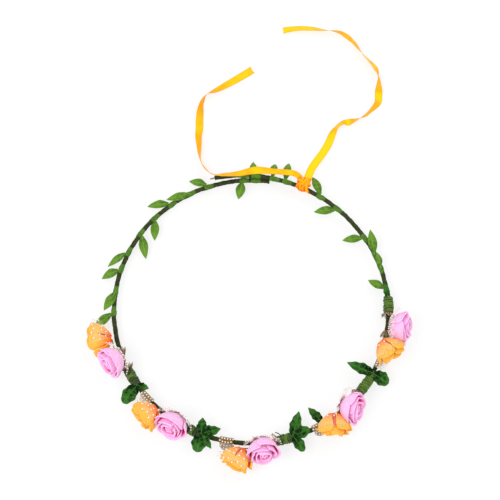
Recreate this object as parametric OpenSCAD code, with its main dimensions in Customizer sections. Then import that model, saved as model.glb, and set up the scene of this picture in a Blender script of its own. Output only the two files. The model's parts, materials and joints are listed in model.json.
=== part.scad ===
// Flower crown lying flat on a table: a taped wire ring with small leaves, five rose sprays
// that turn about the ring, and a knotted ribbon with two free tails.
// Millimetres, +Z up. The origin is the centre of the ring, in the plane of its wire.

/* [Ring] */
// Radius of the vine's centre line
ring_r = 100; // [95:1:125]
// Radius of the taped vine
vine_r = 1.7; // [1.5:0.1:2]
// Radius of the steel wire inside the tape
wire_r = 0.6; // [0.4:0.05:0.8]
// Radius of the arc along which the outer end of the vine leaves the ring
outer_r = 107; // [106:1:140]
// Angle by which that end climbs over the inner end
outer_lift = 2.7; // [2.6:0.1:4]

/* [Small leaves] */
// Thickness of the leaf cloth
leaf_t = 0.4; // [0.3:0.1:0.6]
// Factor on the length of every small leaf
leaf_len_k = 1; // [0.8:0.05:1.1]
// Factor on the width of every small leaf
leaf_wid_k = 1; // [0.8:0.05:1.1]

/* [Roses] */
// Outer radius of a rose head
rose_r = 9.8; // [8.5:0.1:10]
// Height of a rose head from its base to the bud
rose_h = 13; // [11:0.5:13.5]
// Number of petals in the outer row
petals = 5; // [4:1:6]

/* [Sprays] */
// Length of the tape sleeve of a spray
sleeve_len = 12; // [10:1:14]
// Clearance between the sleeve and the vine
hinge_fit = 0.35; // [0.3:0.05:0.45]
// Wall of the sleeve
sleeve_wall = 0.4; // [0.35:0.05:0.5]
// Radius of the binding cord wound on the sleeve
cord_r = 0.45; // [0.35:0.05:0.5]
// Turns of the binding
cord_turns = 5; // [3:1:5]
// Radius of a wire stem
stem_r = 0.4; // [0.3:0.05:0.45]
// Outer radius of a gauze ruffle
gauze_r = 11.5; // [10:0.5:12]

/* [Ribbon] */
// Width of the satin ribbon
ribbon_w = 6; // [5:0.5:7]
// Thickness of the ribbon's solid
ribbon_t = 0.5; // [0.4:0.1:0.6]

/* [Hidden] */
$fn = 96;
// Gaps between pieces that lie on each other
seat = 0.2;
wire_fit = 0.1;
lay_gap = 0.08;
stem_gap = 0.05;
cord_gap = 0.5;
leaf_gap = 0.3;
// Height of the wire's plane over the table
rest_h = 6.5;

// Ring angles, in degrees anticlockwise from +X
overlap_start = 40;
inner_end = 82;
outer_span = 62;
wire_tip = 1.8;
knot_turn = 26;

// Placement of each spray: binding angle, then the two roses
spray_a = [211, 245, 283.5, 323.5, 360.5];
pink_turn = [-7.3, -6.9, -9.4, -11.2, -10.4];
orange_turn = [-17.5, -17, -18.2, -20.4, -20.2];
pink_out = [7, 4, 6.2, 3.7, 8];
pink_up = [10, 10.6, 10, 10.5, 10];
pink_el = [45, 50, 48, 48, 45];
pink_az = [15, 5, 5, 25, 0];
orange_out = [11.4, 9, 12.4, 6, 3.6];
orange_up = [5.5, 6.2, 5.5, 9.8, 11.3];
orange_el = [15, 18, 12, 15, 18];
orange_az = [-10, -15, -20, -30, -30];
head_mid = 6.5;
pink_fan = [[100, 235], [100, 255], [100, 255], [110, 225], [100, 235]];
orange_fan = [[160, 270], [150, 240], [150, 270], [150, 250], [150, 250]];
stub = 2;

bore_r = vine_r + hinge_fit;
sleeve_r = bore_r + sleeve_wall;
axis_in = sleeve_len * sleeve_len / (16 * ring_r);
lay_r = sleeve_r + stem_r + lay_gap;
coil_r = lay_r + stem_r + cord_r + seat;
cord_pitch = 2 * cord_r + cord_gap;
coil_start = -0.5 * cord_turns * cord_pitch;
// How far past the middle of the sleeve each spray's leaves are wired on
leaf_reach = [11, 10, 8, 13, 7];
leaf_in = 2;
// Where each wire lies round the sleeve, from outward to up
pink_lay = 70;
orange_lay = 25;
leaf_lay = 100;
// Where the stems leave the sleeve's line, and how far in from its end they start
pink_leave = -7;
orange_leave = -18;
stem_in = 2;

leaf_green = [0.36, 0.55, 0.18];
dark_green = [0.10, 0.32, 0.14];
vine_green = [0.22, 0.28, 0.12];

// Small leaves: ring angle, heading (0 along the vine, 90 outward), length, width, droop, 1 if on top
leaf_rows = [
    [94, -73, 12.5, 7.6, 3, 0],
    [109.5, 43, 14.5, 6.6, 6.5, 0],
    [118, 10, 17.5, 6.5, -1, 1],
    [127.5, 38, 16.5, 6.8, 6.5, 0],
    [137, -42, 14.5, 6.8, 3, 0],
    [146, -45, 17, 7, 4, 0],
    [156, 32, 16, 5.6, 5, 0],
    [164, 54, 13.5, 7.2, 6.5, 0],
    [174, 22, 16, 7, -1, 1],
    [183, 56, 16.5, 7, 5, 0],
    [59.5, 42, 18, 6.4, 7.9, 0],
    [50.5, -42, 15.5, 7, 3, 0],
    [33, -60, 14.5, 6.6, 3, 0],
    [24.5, 16, 18, 7, -1, 1],
    [18, 6, 10.5, 5, -1, 1],
    [8.5, -49, 13, 6.6, 3, 0],
    [89, 88, 16, 6.5, 6.3, 0],
    [81, 90, 13.5, 6, 9, 0],
    [75.5, 86, 17, 6.5, 9, 0]
];

// Large leaves of each spray: heading, length, width, droop, level
big_rows = [
    [[70, 16, 11, 3, 0], [-40, 9, 6, -1, 1]],
    [[-110, 11, 8, -1, 2], [-38, 14, 9, -1, 1], [80, 13, 11, 3, 0], [32, 13, 6, 1, 3]],
    [[-62, 18, 9, -1, 1], [-10, 13, 9, -1, 0], [66, 13, 8, 3, 2]],
    [[-104, 20, 9, -1, 1], [85, 13, 11, 3, 0]],
    [[-14, 11, 5, -0.5, 0]]
];

// Small dark leaves tucked behind an orange rose: spray, turn, out, up, heading, length, width, droop
tuck_rows = [
    [3, -23.5, -0.5, 5.8, -104, 14, 7, -1]
];

// Routes of the ribbon tails: x, y, height over the table, roll of the ribbon
tail_left_pts = [
    [38, 98.5, 9.5, -40], [35.5, 102.3, 10.3, -40], [31, 104.2, 11, -42], [24.5, 104.7, 11.5, -43],
    [17, 105.1, 12, -40], [9.5, 105.7, 12.2, -30], [3.5, 105.9, 12.2, -14], [-2.5, 104.8, 12.3, -30],
    [-9, 102.8, 13.2, -38], [-16.5, 101.8, 13.8, -42], [-23, 101.9, 13.4, -52], [-28.5, 104.2, 9, -70],
    [-33, 108.5, 5.5, -80], [-36.5, 113, 4, -86], [-38.5, 118, 3.6, -92], [-39.5, 125, 3.2, -117],
    [-40, 132, 2.8, -134], [-40.5, 138.5, 2.1, -150], [-40, 145.5, 0.9, -176], [-40, 152, 1.1, -190],
    [-39.5, 159.5, 2.2, -212], [-38.5, 166, 3, -235], [-36.5, 170.5, 3.5, -254], [-34, 174, 3.6, -275],
    [-28, 177.5, 2.7, -314], [-20, 182.5, 2, -331], [-8, 190.5, 1.1, -350], [1.5, 197, 0.8, -360]
];
tail_right_pts = [
    [42, 98.5, 9, 0], [45, 107.5, 7.5, 0], [49, 115, 5.5, 0], [55, 124.5, 3, 0],
    [59.5, 133, 1.5, 0], [62.5, 140.5, 1.6, 20], [65.5, 145.5, 3, 48], [70, 149.5, 2.6, 40],
    [75, 151, 1.2, 10], [81, 152.5, 2.9, 50], [88.5, 156, 3.6, 90], [93, 160.5, 3.5, 105],
    [96.5, 164.5, 3, 125], [99, 169.5, 1.6, 160], [99.5, 175, 0.9, 180], [99.5, 180.5, 2.6, 225],
    [99.5, 187.5, 3.6, 262], [98, 196, 3.2, 296], [94.5, 201.5, 3.4, 288], [88.5, 208.5, 3.6, 278],
    [84, 215.5, 3.6, 277], [80, 221, 3.3, 294], [76, 225, 3.2, 300], [70.5, 228.5, 3.4, 290],
    [64.5, 230, 3.6, 278], [57, 230.7, 3.6, 278], [48, 232, 3.3, 291], [39.5, 232.5, 3, 302],
    [31.5, 232.5, 1.8, 332], [25, 231.5, 1, 350]
];
rings_per_span = 3;

// Points and frames

function turn_z(a, p) = [p.x * cos(a) - p.y * sin(a), p.x * sin(a) + p.y * cos(a), p.z];

function facing(az, el) = [cos(el) * cos(az), cos(el) * sin(az), sin(el)];

function unit(v) = v / norm(v);

// Centre of the vine at a ring angle; between the overlap's start and the knot it follows the outer arc
function strand_out(a) =
    let(d = a - overlap_start, s = outer_r - ring_r)
    (d > 0 && a < inner_end) ? sqrt(outer_r * outer_r - pow(s * sin(d), 2)) - s * cos(d) - ring_r : 0;

function strand_up(a) =
    let(d = a - overlap_start)
    (d > 0 && a < inner_end) ? (ring_r + strand_out(a)) * sin(d) * sin(outer_lift) : 0;

function head_base(a, turn, out, up, az, el) =
    turn_z(a + turn, [ring_r + out, 0, up] - head_mid * facing(az, el));

function pink_base(i) = head_base(spray_a[i], pink_turn[i], pink_out[i], pink_up[i], pink_az[i], pink_el[i]);

function orange_base(i) =
    head_base(spray_a[i], orange_turn[i], orange_out[i], orange_up[i], orange_az[i], orange_el[i]);

function pink_axis(i) = turn_z(spray_a[i] + pink_turn[i], facing(pink_az[i], pink_el[i]));

function orange_axis(i) = turn_z(spray_a[i] + orange_turn[i], facing(orange_az[i], orange_el[i]));

module at_ring(a, r = ring_r) {
    rotate([0, 0, a])
        translate([r, 0, 0])
            children();
}

module rod(p, q, r) {
    d = q - p;
    translate(p)
        rotate([0, acos(d.z / norm(d)), atan2(d.y, d.x)])
            cylinder(h = norm(d), r = r);
}

// Vine

module strand(r, extra) {
    rotate([0, 0, inner_end])
        rotate_extrude(angle = 360 - inner_end + overlap_start, $fn = 360)
            translate([ring_r, 0])
                circle(r);
    rotate([0, 0, overlap_start])
        rotate([outer_lift, 0, 0])
            translate([ring_r - outer_r, 0, 0])
                rotate_extrude(angle = outer_span + extra, $fn = 360)
                    translate([outer_r, 0])
                        circle(r);
    at_ring(overlap_start)
        sphere(r * 1.12);
}

module core_wire() {
    color([0.3, 0.3, 0.32])
        strand(wire_r, wire_tip);
}

module vine_tape() {
    color(vine_green)
        difference() {
            strand(vine_r, 0);
            strand(wire_r + wire_fit, wire_tip + 1);
        }
}

// Leaves

// A leaf blade along +Y, level at its root, bent down by its droop or up if that is negative
module blade(len, wid, droop) {
    bend = abs(droop);
    arc_r = (len * len + bend * bend) / (2 * bend);
    edge_r = (len * len + wid * wid) / (4 * wid);
    translate([0, 0, droop < 0 ? leaf_t : 0])
        mirror([0, 0, droop < 0 ? 1 : 0])
            intersection() {
                translate([0, 0, -bend - 1])
                    linear_extrude(bend + 2)
                        intersection() {
                            translate([edge_r - wid / 2, len / 2])
                                circle(edge_r);
                            translate([wid / 2 - edge_r, len / 2])
                                circle(edge_r);
                        }
                translate([0, 0, -arc_r])
                    rotate([0, 90, 0])
                        difference() {
                            cylinder(h = wid + 2, r = arc_r + leaf_t, center = true, $fn = 360);
                            cylinder(h = wid + 4, r = arc_r, center = true, $fn = 360);
                        }
            }
}

module small_leaf(i) {
    row = leaf_rows[i];
    side = row[1] > 0 ? 1 : -1;
    root_x = row[5] == 1 ? 0 : side * (vine_r + seat);
    root_z = row[5] == 1 ? vine_r + seat : 0;
    color(leaf_green)
        at_ring(row[0], ring_r + strand_out(row[0]))
            translate([root_x, 0, root_z + strand_up(row[0])])
                rotate([0, 0, -row[1]])
                    blade(row[2] * leaf_len_k, row[3] * leaf_wid_k, row[4]);
}

module leaf_01() { small_leaf(0); }
module leaf_02() { small_leaf(1); }
module leaf_03() { small_leaf(2); }
module leaf_04() { small_leaf(3); }
module leaf_05() { small_leaf(4); }
module leaf_06() { small_leaf(5); }
module leaf_07() { small_leaf(6); }
module leaf_08() { small_leaf(7); }
module leaf_09() { small_leaf(8); }
module leaf_10() { small_leaf(9); }
module leaf_11() { small_leaf(10); }
module leaf_12() { small_leaf(11); }
module leaf_13() { small_leaf(12); }
module leaf_14() { small_leaf(13); }
module leaf_15() { small_leaf(14); }
module leaf_16() { small_leaf(15); }
module leaf_17() { small_leaf(16); }
module leaf_18() { small_leaf(17); }
module leaf_19() { small_leaf(18); }

// Rose heads: one closed skin, from the base over the petal rims to the bud

// Each row: radius, height, petal swell, petal lift, turn of the petals
rose_rows = [
    [0.16, 0.00, 0, 0, 0],
    [0.48, 0.10, 0.02, 0, 0],
    [0.82, 0.32, 0.04, 0, 0],
    [0.96, 0.56, 0.06, 0.02, 0],
    [0.95, 0.76, 0.06, 0.05, 0],
    [0.84, 0.80, 0.06, 0.05, 0],
    [0.74, 0.70, 0.04, 0, 36],
    [0.66, 0.90, 0.06, 0.03, 36],
    [0.48, 0.90, 0.06, 0.03, 36],
    [0.40, 0.78, 0.04, 0, 0],
    [0.32, 0.98, 0.06, 0.02, 0],
    [0.12, 0.95, 0, 0, 0]
];
rose_cols = 5 * petals;

function rose_point(row, c) =
    let(u = 360 * c / rose_cols, w = cos(petals * u + 180 * row[4] / 36))
    [rose_r * row[0] * (1 + row[2] * w) * cos(u),
     rose_r * row[0] * (1 + row[2] * w) * sin(u),
     rose_h * (row[1] + row[3] * w)];

rose_points = concat(
    [for (row = rose_rows) for (c = [0:rose_cols - 1]) rose_point(row, c)],
    [[0, 0, 0], [0, 0, 0.92 * rose_h]]
);
rose_last = len(rose_rows) - 1;
rose_base_pt = len(rose_rows) * rose_cols;
rose_faces = concat(
    [for (r = [0:rose_last - 1]) for (c = [0:rose_cols - 1]) let(d = (c + 1) % rose_cols)
        for (t = [0, 1]) t == 0
            ? [r * rose_cols + c, (r + 1) * rose_cols + c, r * rose_cols + d]
            : [r * rose_cols + d, (r + 1) * rose_cols + c, (r + 1) * rose_cols + d]],
    [for (c = [0:rose_cols - 1]) let(d = (c + 1) % rose_cols) [c, d, rose_base_pt]],
    [for (c = [0:rose_cols - 1]) let(d = (c + 1) % rose_cols)
        [rose_last * rose_cols + d, rose_last * rose_cols + c, rose_base_pt + 1]]
);

module place_head(a, turn, out, up, az, el) {
    at_ring(a + turn)
        translate([out, 0, up])
            rotate([0, 90 - el, az])
                translate([0, 0, -head_mid])
                    children();
}

module place_pink(i) {
    place_head(spray_a[i], pink_turn[i], pink_out[i], pink_up[i], pink_az[i], pink_el[i])
        children();
}

module place_orange(i) {
    place_head(spray_a[i], orange_turn[i], orange_out[i], orange_up[i], orange_az[i], orange_el[i])
        children();
}

module pink_rose(i) {
    color([0.98, 0.62, 0.88])
        place_pink(i)
            polyhedron(rose_points, rose_faces, convexity = 6);
}

module orange_rose(i) {
    color([1, 0.62, 0.16])
        place_orange(i)
            polyhedron(rose_points, rose_faces, convexity = 6);
}

// Gauze: a fan of folds behind each rose

gauze_t = 0.5;
gauze_in = 1.7;
pink_cup = 3;
orange_cup = 8;
gauze_folds = 12;
gauze_cols = 32;
gauze_steps = 2;

// Cup of the fan, with folds that grow towards the rim
function gauze_z(r, u, cup, folds) =
    let(f = (r - gauze_in) / (gauze_r - gauze_in))
    -1.2 + cup * f * f + 0.9 * f * sin(folds * u);

function fan_points(from, to, cup, folds) =
    [for (side = [0, 1]) for (s = [0:gauze_steps]) for (c = [0:gauze_cols])
        let(u = from + (to - from) * c / gauze_cols,
            r = gauze_in + (gauze_r - gauze_in) * s / gauze_steps)
        [r * cos(u), r * sin(u), gauze_z(r, u, cup, folds) + side * gauze_t]];

function fan_at(side, s, c) = (side * (gauze_steps + 1) + s) * (gauze_cols + 1) + c;

function fan_quad(a, b, c, d) = [[a, b, c], [a, c, d]];

fan_faces = [
    for (q = concat(
        [for (s = [0:gauze_steps - 1]) for (c = [0:gauze_cols - 1])
            fan_quad(fan_at(0, s, c), fan_at(0, s + 1, c), fan_at(0, s + 1, c + 1), fan_at(0, s, c + 1))],
        [for (s = [0:gauze_steps - 1]) for (c = [0:gauze_cols - 1])
            fan_quad(fan_at(1, s, c), fan_at(1, s, c + 1), fan_at(1, s + 1, c + 1), fan_at(1, s + 1, c))],
        [for (c = [0:gauze_cols - 1])
            fan_quad(fan_at(0, 0, c), fan_at(0, 0, c + 1), fan_at(1, 0, c + 1), fan_at(1, 0, c))],
        [for (c = [0:gauze_cols - 1])
            fan_quad(fan_at(0, gauze_steps, c + 1), fan_at(0, gauze_steps, c),
                     fan_at(1, gauze_steps, c), fan_at(1, gauze_steps, c + 1))],
        [for (s = [0:gauze_steps - 1])
            fan_quad(fan_at(0, s + 1, 0), fan_at(0, s, 0), fan_at(1, s, 0), fan_at(1, s + 1, 0))],
        [for (s = [0:gauze_steps - 1])
            fan_quad(fan_at(0, s, gauze_cols), fan_at(0, s + 1, gauze_cols),
                     fan_at(1, s + 1, gauze_cols), fan_at(1, s, gauze_cols))]
    ))
    for (f = q) f
];

module fan(sector, cup) {
    polyhedron(fan_points(sector[0], sector[1], cup, gauze_folds), fan_faces, convexity = 6);
}

module gauze(i) {
    color([0.86, 0.78, 0.68, 0.6]) {
        place_pink(i)
            fan(pink_fan[i], pink_cup);
        place_orange(i)
            fan(orange_fan[i], orange_cup);
    }
}

// Sleeve of tape that turns on the vine, and the wires that lie on it under the binding

module sleeve(i) {
    color(vine_green)
        at_ring(spray_a[i], ring_r - axis_in)
            rotate([90, 0, 0])
                difference() {
                    cylinder(h = sleeve_len, r = sleeve_r, center = true);
                    cylinder(h = sleeve_len + 2, r = bore_r, center = true);
                }
}

function lay(i, around, along) =
    turn_z(spray_a[i], [ring_r - axis_in + lay_r * cos(around), along, lay_r * sin(around)]);

// A bent wire: one ring of eight points at each of its corners
wire_sides = 8;

function wire_ring(pts, k) =
    let(ahead = unit(pts[min(k + 1, len(pts) - 1)] - pts[max(k - 1, 0)]),
        side = unit(cross(ahead, [0, 0, 1])),
        up = cross(side, ahead))
    [for (j = [0:wire_sides - 1]) let(v = 360 * j / wire_sides)
        pts[k] + stem_r * (cos(v) * side + sin(v) * up)];

module wire(pts) {
    rings = [for (k = [0:len(pts) - 1]) each wire_ring(pts, k)];
    polyhedron(rings, tube_faces(len(pts) - 1, wire_sides), convexity = 4);
}

module stems(i) {
    start = sleeve_len / 2 - stem_in;
    color([0.3, 0.42, 0.16]) {
        wire([lay(i, pink_lay, start), lay(i, pink_lay, pink_leave),
              pink_base(i) - stub * pink_axis(i), pink_base(i) - stem_gap * pink_axis(i)]);
        wire([lay(i, orange_lay, start), lay(i, orange_lay, orange_leave),
              orange_base(i) - stub * orange_axis(i), orange_base(i) - stem_gap * orange_axis(i)]);
        rod(lay(i, leaf_lay, -start), lay(i, leaf_lay, leaf_reach[i]), stem_r);
    }
}

// Binding: a cord wound on the sleeve

cord_sides = 6;
rings_per_turn = 12;
coil_rings = cord_turns * rings_per_turn;

function coil_centre(k) =
    let(u = 360 * k / rings_per_turn)
    [coil_r * cos(u), coil_start + cord_pitch * k / rings_per_turn, coil_r * sin(u)];

coil_points = [
    for (k = [0:coil_rings]) for (j = [0:cord_sides - 1])
        let(u = 360 * k / rings_per_turn, v = -360 * j / cord_sides)
        coil_centre(k) + cord_r * [cos(v) * cos(u), sin(v), cos(v) * sin(u)]
];

function tube_faces(rings, sides) = concat(
    [for (k = [0:rings - 1]) for (j = [0:sides - 1]) let(m = (j + 1) % sides)
        for (t = [0, 1]) t == 0
            ? [k * sides + j, k * sides + m, (k + 1) * sides + j]
            : [k * sides + m, (k + 1) * sides + m, (k + 1) * sides + j]],
    [[for (j = [sides - 1:-1:0]) j]],
    [[for (j = [0:sides - 1]) rings * sides + j]]
);

coil_gap = min([for (k = [0:coil_rings - rings_per_turn])
    norm(coil_centre(k) - coil_centre(k + rings_per_turn)) - 2 * cord_r]);
echo(coil_gap = coil_gap);

module binding(i) {
    color([0.35, 0.5, 0.16])
        at_ring(spray_a[i], ring_r - axis_in)
            polyhedron(coil_points, tube_faces(coil_rings, cord_sides), convexity = 8);
}

module big_leaves(i) {
    color(dark_green)
        at_ring(spray_a[i], ring_r - axis_in)
            translate([0, leaf_reach[i] - leaf_in, lay_r + stem_r + stem_gap])
                for (row = big_rows[i])
                    translate([0, 0, row[4] * (leaf_t + leaf_gap)])
                        rotate([0, 0, -row[0]])
                            blade(row[1], row[2], row[3]);
    color(dark_green)
        for (row = tuck_rows)
            if (row[0] == i)
                at_ring(spray_a[i] + row[1])
                    translate([row[2], 0, row[3]])
                        rotate([0, 0, -row[4]])
                            blade(row[5], row[6], row[7]);
}

module spray_1_sleeve() { sleeve(0); }
module spray_1_stems() { stems(0); }
module spray_1_binding() { binding(0); }
module spray_1_pink_rose() { pink_rose(0); }
module spray_1_orange_rose() { orange_rose(0); }
module spray_1_gauze() { gauze(0); }
module spray_1_leaves() { big_leaves(0); }
module spray_2_sleeve() { sleeve(1); }
module spray_2_stems() { stems(1); }
module spray_2_binding() { binding(1); }
module spray_2_pink_rose() { pink_rose(1); }
module spray_2_orange_rose() { orange_rose(1); }
module spray_2_gauze() { gauze(1); }
module spray_2_leaves() { big_leaves(1); }
module spray_3_sleeve() { sleeve(2); }
module spray_3_stems() { stems(2); }
module spray_3_binding() { binding(2); }
module spray_3_pink_rose() { pink_rose(2); }
module spray_3_orange_rose() { orange_rose(2); }
module spray_3_gauze() { gauze(2); }
module spray_3_leaves() { big_leaves(2); }
module spray_4_sleeve() { sleeve(3); }
module spray_4_stems() { stems(3); }
module spray_4_binding() { binding(3); }
module spray_4_pink_rose() { pink_rose(3); }
module spray_4_orange_rose() { orange_rose(3); }
module spray_4_gauze() { gauze(3); }
module spray_4_leaves() { big_leaves(3); }
module spray_5_sleeve() { sleeve(4); }
module spray_5_stems() { stems(4); }
module spray_5_binding() { binding(4); }
module spray_5_pink_rose() { pink_rose(4); }
module spray_5_orange_rose() { orange_rose(4); }
module spray_5_gauze() { gauze(4); }
module spray_5_leaves() { big_leaves(4); }

// Ribbon: a knot round the vine, and two tails swept along their routes

ribbon_sides = 8;

function mid(pts, k, t) =
    let(n = len(pts) - 1,
        a = pts[max(k - 1, 0)], b = pts[k], c = pts[min(k + 1, n)], d = pts[min(k + 2, n)])
    0.5 * (2 * b + (c - a) * t + (2 * a - 5 * b + 4 * c - d) * t * t + (3 * b - a - 3 * c + d) * t * t * t);

function route(pts) = concat(
    [for (k = [0:len(pts) - 2]) for (s = [0:rings_per_span - 1]) mid(pts, k, s / rings_per_span)],
    [pts[len(pts) - 1]]
);

function flat(p) = [p[0], p[1], p[2] - rest_h];

// One ring of the ribbon: an eight-sided flat section, rolled about the route
function ribbon_ring(path, k) =
    let(n = len(path) - 1,
        ahead = unit(flat(path[min(k + 1, n)]) - flat(path[max(k - 1, 0)])),
        side = unit(cross(ahead, [0, 0, 1])),
        up = cross(side, ahead),
        roll = path[k][3],
        w = cos(roll) * side + sin(roll) * up,
        h = cos(roll) * up - sin(roll) * side)
    [for (c = [[1, 0.4], [0.8, 1], [-0.8, 1], [-1, 0.4], [-1, -0.4], [-0.8, -1], [0.8, -1], [1, -0.4]])
        flat(path[k]) + 0.5 * ribbon_w * c[0] * w + 0.5 * ribbon_t * c[1] * h];

module tail(pts) {
    path = route(pts);
    rings = [for (k = [0:len(path) - 1]) each ribbon_ring(path, k)];
    color([1, 0.8, 0.1])
        polyhedron(rings, tube_faces(len(path) - 1, ribbon_sides), convexity = 8);
}

module ribbon_tail_left() { tail(tail_left_pts); }
module ribbon_tail_right() { tail(tail_right_pts); }

knot_wall = 1.3;
knot_bump = 4.5;

module ribbon_knot() {
    knot_bore = vine_r + seat;
    color([1, 0.6, 0.05])
        rotate([0, 0, overlap_start])
            rotate([outer_lift, 0, 0])
                translate([ring_r - outer_r, 0, 0])
                    at_ring(knot_turn, outer_r)
                        difference() {
                            union() {
                                rotate([90, 0, 0])
                                    cylinder(h = ribbon_w + 2, r = knot_bore + knot_wall, center = true);
                                translate([vine_r + 1, 0, 1])
                                    sphere(knot_bump);
                            }
                            rotate([90, 0, 0])
                                cylinder(h = ribbon_w + 6, r = knot_bore, center = true);
                        }
}

core_wire();
vine_tape();
leaf_01();
leaf_02();
leaf_03();
leaf_04();
leaf_05();
leaf_06();
leaf_07();
leaf_08();
leaf_09();
leaf_10();
leaf_11();
leaf_12();
leaf_13();
leaf_14();
leaf_15();
leaf_16();
leaf_17();
leaf_18();
leaf_19();
spray_1_sleeve();
spray_1_stems();
spray_1_binding();
spray_1_pink_rose();
spray_1_orange_rose();
spray_1_gauze();
spray_1_leaves();
spray_2_sleeve();
spray_2_stems();
spray_2_binding();
spray_2_pink_rose();
spray_2_orange_rose();
spray_2_gauze();
spray_2_leaves();
spray_3_sleeve();
spray_3_stems();
spray_3_binding();
spray_3_pink_rose();
spray_3_orange_rose();
spray_3_gauze();
spray_3_leaves();
spray_4_sleeve();
spray_4_stems();
spray_4_binding();
spray_4_pink_rose();
spray_4_orange_rose();
spray_4_gauze();
spray_4_leaves();
spray_5_sleeve();
spray_5_stems();
spray_5_binding();
spray_5_pink_rose();
spray_5_orange_rose();
spray_5_gauze();
spray_5_leaves();
ribbon_knot();
ribbon_tail_left();
ribbon_tail_right();
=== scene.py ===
"""Flower crown: a taped vine with cloth leaves, five sprays of foam roses, dotted gauze and a ribbon."""
import json
import math
import random
from contextlib import contextmanager

import bpy
import numpy as np
from bpy.props import FloatProperty, FloatVectorProperty, PointerProperty
from mathutils import Matrix, Vector


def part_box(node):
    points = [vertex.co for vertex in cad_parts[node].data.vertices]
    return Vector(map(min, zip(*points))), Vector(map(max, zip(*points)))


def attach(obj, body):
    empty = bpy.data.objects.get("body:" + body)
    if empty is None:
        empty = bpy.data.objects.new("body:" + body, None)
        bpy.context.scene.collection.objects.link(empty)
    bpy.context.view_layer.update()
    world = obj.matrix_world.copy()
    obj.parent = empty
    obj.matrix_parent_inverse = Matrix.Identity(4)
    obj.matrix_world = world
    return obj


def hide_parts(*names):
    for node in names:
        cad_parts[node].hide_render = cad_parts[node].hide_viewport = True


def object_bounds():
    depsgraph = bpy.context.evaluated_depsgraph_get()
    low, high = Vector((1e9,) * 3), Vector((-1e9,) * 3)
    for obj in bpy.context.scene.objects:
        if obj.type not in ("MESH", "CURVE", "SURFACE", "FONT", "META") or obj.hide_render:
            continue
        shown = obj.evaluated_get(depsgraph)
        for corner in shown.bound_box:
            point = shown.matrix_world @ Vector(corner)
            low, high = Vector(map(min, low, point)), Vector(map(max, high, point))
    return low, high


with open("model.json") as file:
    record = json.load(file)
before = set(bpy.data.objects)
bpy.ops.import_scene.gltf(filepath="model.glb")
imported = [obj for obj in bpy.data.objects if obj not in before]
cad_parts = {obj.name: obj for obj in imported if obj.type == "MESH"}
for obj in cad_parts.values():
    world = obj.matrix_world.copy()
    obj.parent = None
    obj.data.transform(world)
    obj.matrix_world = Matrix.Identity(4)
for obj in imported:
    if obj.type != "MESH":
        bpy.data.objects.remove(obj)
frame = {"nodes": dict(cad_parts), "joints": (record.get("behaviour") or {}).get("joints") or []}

bl_info = {
    "name": "Flower Crown",
    "version": (1, 0, 0),
    "blender": (4, 5, 0),
    "location": "View3D > Sidebar > Crown",
    "description": "Models the looks of a flower crown around its packed construction",
    "category": "Add Mesh",
}

# Facts of the frame
MM = 0.001
CAD_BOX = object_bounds()
NODES = frame["nodes"]
JOINTS = {joint["child"]: joint for joint in frame["joints"]}
SPRAYS = sorted(JOINTS)
SMALL_LEAVES = sorted(name for name in NODES if name.startswith("leaf_"))
TABLE_Z = CAD_BOX[0].z

# Lengths: a rose's foot to its middle, a leaf's least droop, a twist of the cord
HEAD_MIDDLE = 6.5 * MM
LEAST_DROOP = 0.02 * MM
PLY_PITCH = 1.3 * MM

# Room round the vine's centre line, and the curved wall there: its reach, its curve and its softness
VINE_ROOM = 2.3 * MM
WALL_REACH = 1.15
WALL_CURVE = 0.6
WALL_SOFT = 0.1

# Faces that meet at less than this look smooth
SMOOTH_ANGLE = math.radians(50)

# The vine: its ring, and the outer end that leaves the ring and climbs over the inner one, in degrees
OVERLAP_START = 40
INNER_END = 82
OUTER_SPAN = 62
OUTER_RADIUS = 107 * MM
OUTER_LIFT = 2.7
KNOT_TURN = 26

# Routes of the ribbon tails in millimetres: x, y, height over the table, and the roll in degrees
TAIL_LEFT = [
    (38, 98.5, 9.5, -30), (35.5, 102.3, 10.3, -25), (31, 104.2, 11, -20), (24.5, 104.7, 11.5, -21),
    (17, 105.1, 12, -22), (9.5, 105.7, 12.2, -9), (3.5, 105.9, 12.2, 3), (-2.5, 104.8, 12.3, -14),
    (-9, 102.8, 13.2, -25), (-16.5, 101.8, 13.8, -40), (-23, 101.9, 13.4, -45), (-28.5, 104.2, 9, -56),
    (-33, 108.5, 5.5, -80), (-36.5, 113, 4, -86), (-38.5, 118, 3.6, -92), (-39.5, 125, 3.2, -117),
    (-40, 132, 2.8, -134), (-40.5, 138.5, 2.1, -150), (-40, 145.5, 0.9, -176), (-40, 152, 1.1, -190),
    (-39.5, 159.5, 2.2, -212), (-38.5, 166, 3, -245), (-36.5, 170.5, 3.5, -265), (-34, 174, 3.6, -293),
    (-28, 177.5, 2.7, -328), (-20, 182.5, 2, -348), (-8, 190.5, 1.1, -368), (1.5, 197, 0.8, -374),
]
TAIL_RIGHT = [
    (42, 98.5, 9, 0), (45, 107.5, 7.5, 0), (49, 115, 5.5, 0), (55, 124.5, 3, 0), (59.5, 133, 1.5, 0),
    (62.5, 140.5, 1.6, 20), (65.5, 145.5, 3, 48), (70, 149.5, 2.6, 40), (75, 151, 1.2, 10),
    (81, 152.5, 2.9, 50), (88.5, 156, 3.6, 90), (93, 160.5, 3.5, 105), (96.5, 164.5, 3, 125),
    (99, 169.5, 1.6, 160), (99.5, 175, 0.9, 180), (99.5, 180.5, 2.6, 225), (99.5, 187.5, 3.6, 262),
    (98, 196, 3.2, 316), (94.5, 201.5, 3.4, 312), (88.5, 208.5, 3.6, 297), (84, 215.5, 3.6, 272),
    (80, 221, 3.3, 267), (76, 225, 3.2, 261), (70.5, 228.5, 3.4, 275), (64.5, 230, 3.6, 293),
    (57, 230.7, 3.6, 312), (48, 232, 3.3, 330), (39.5, 232.5, 3, 336), (31.5, 232.5, 1.8, 342),
    (25, 231.5, 1, 350),
]

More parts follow.
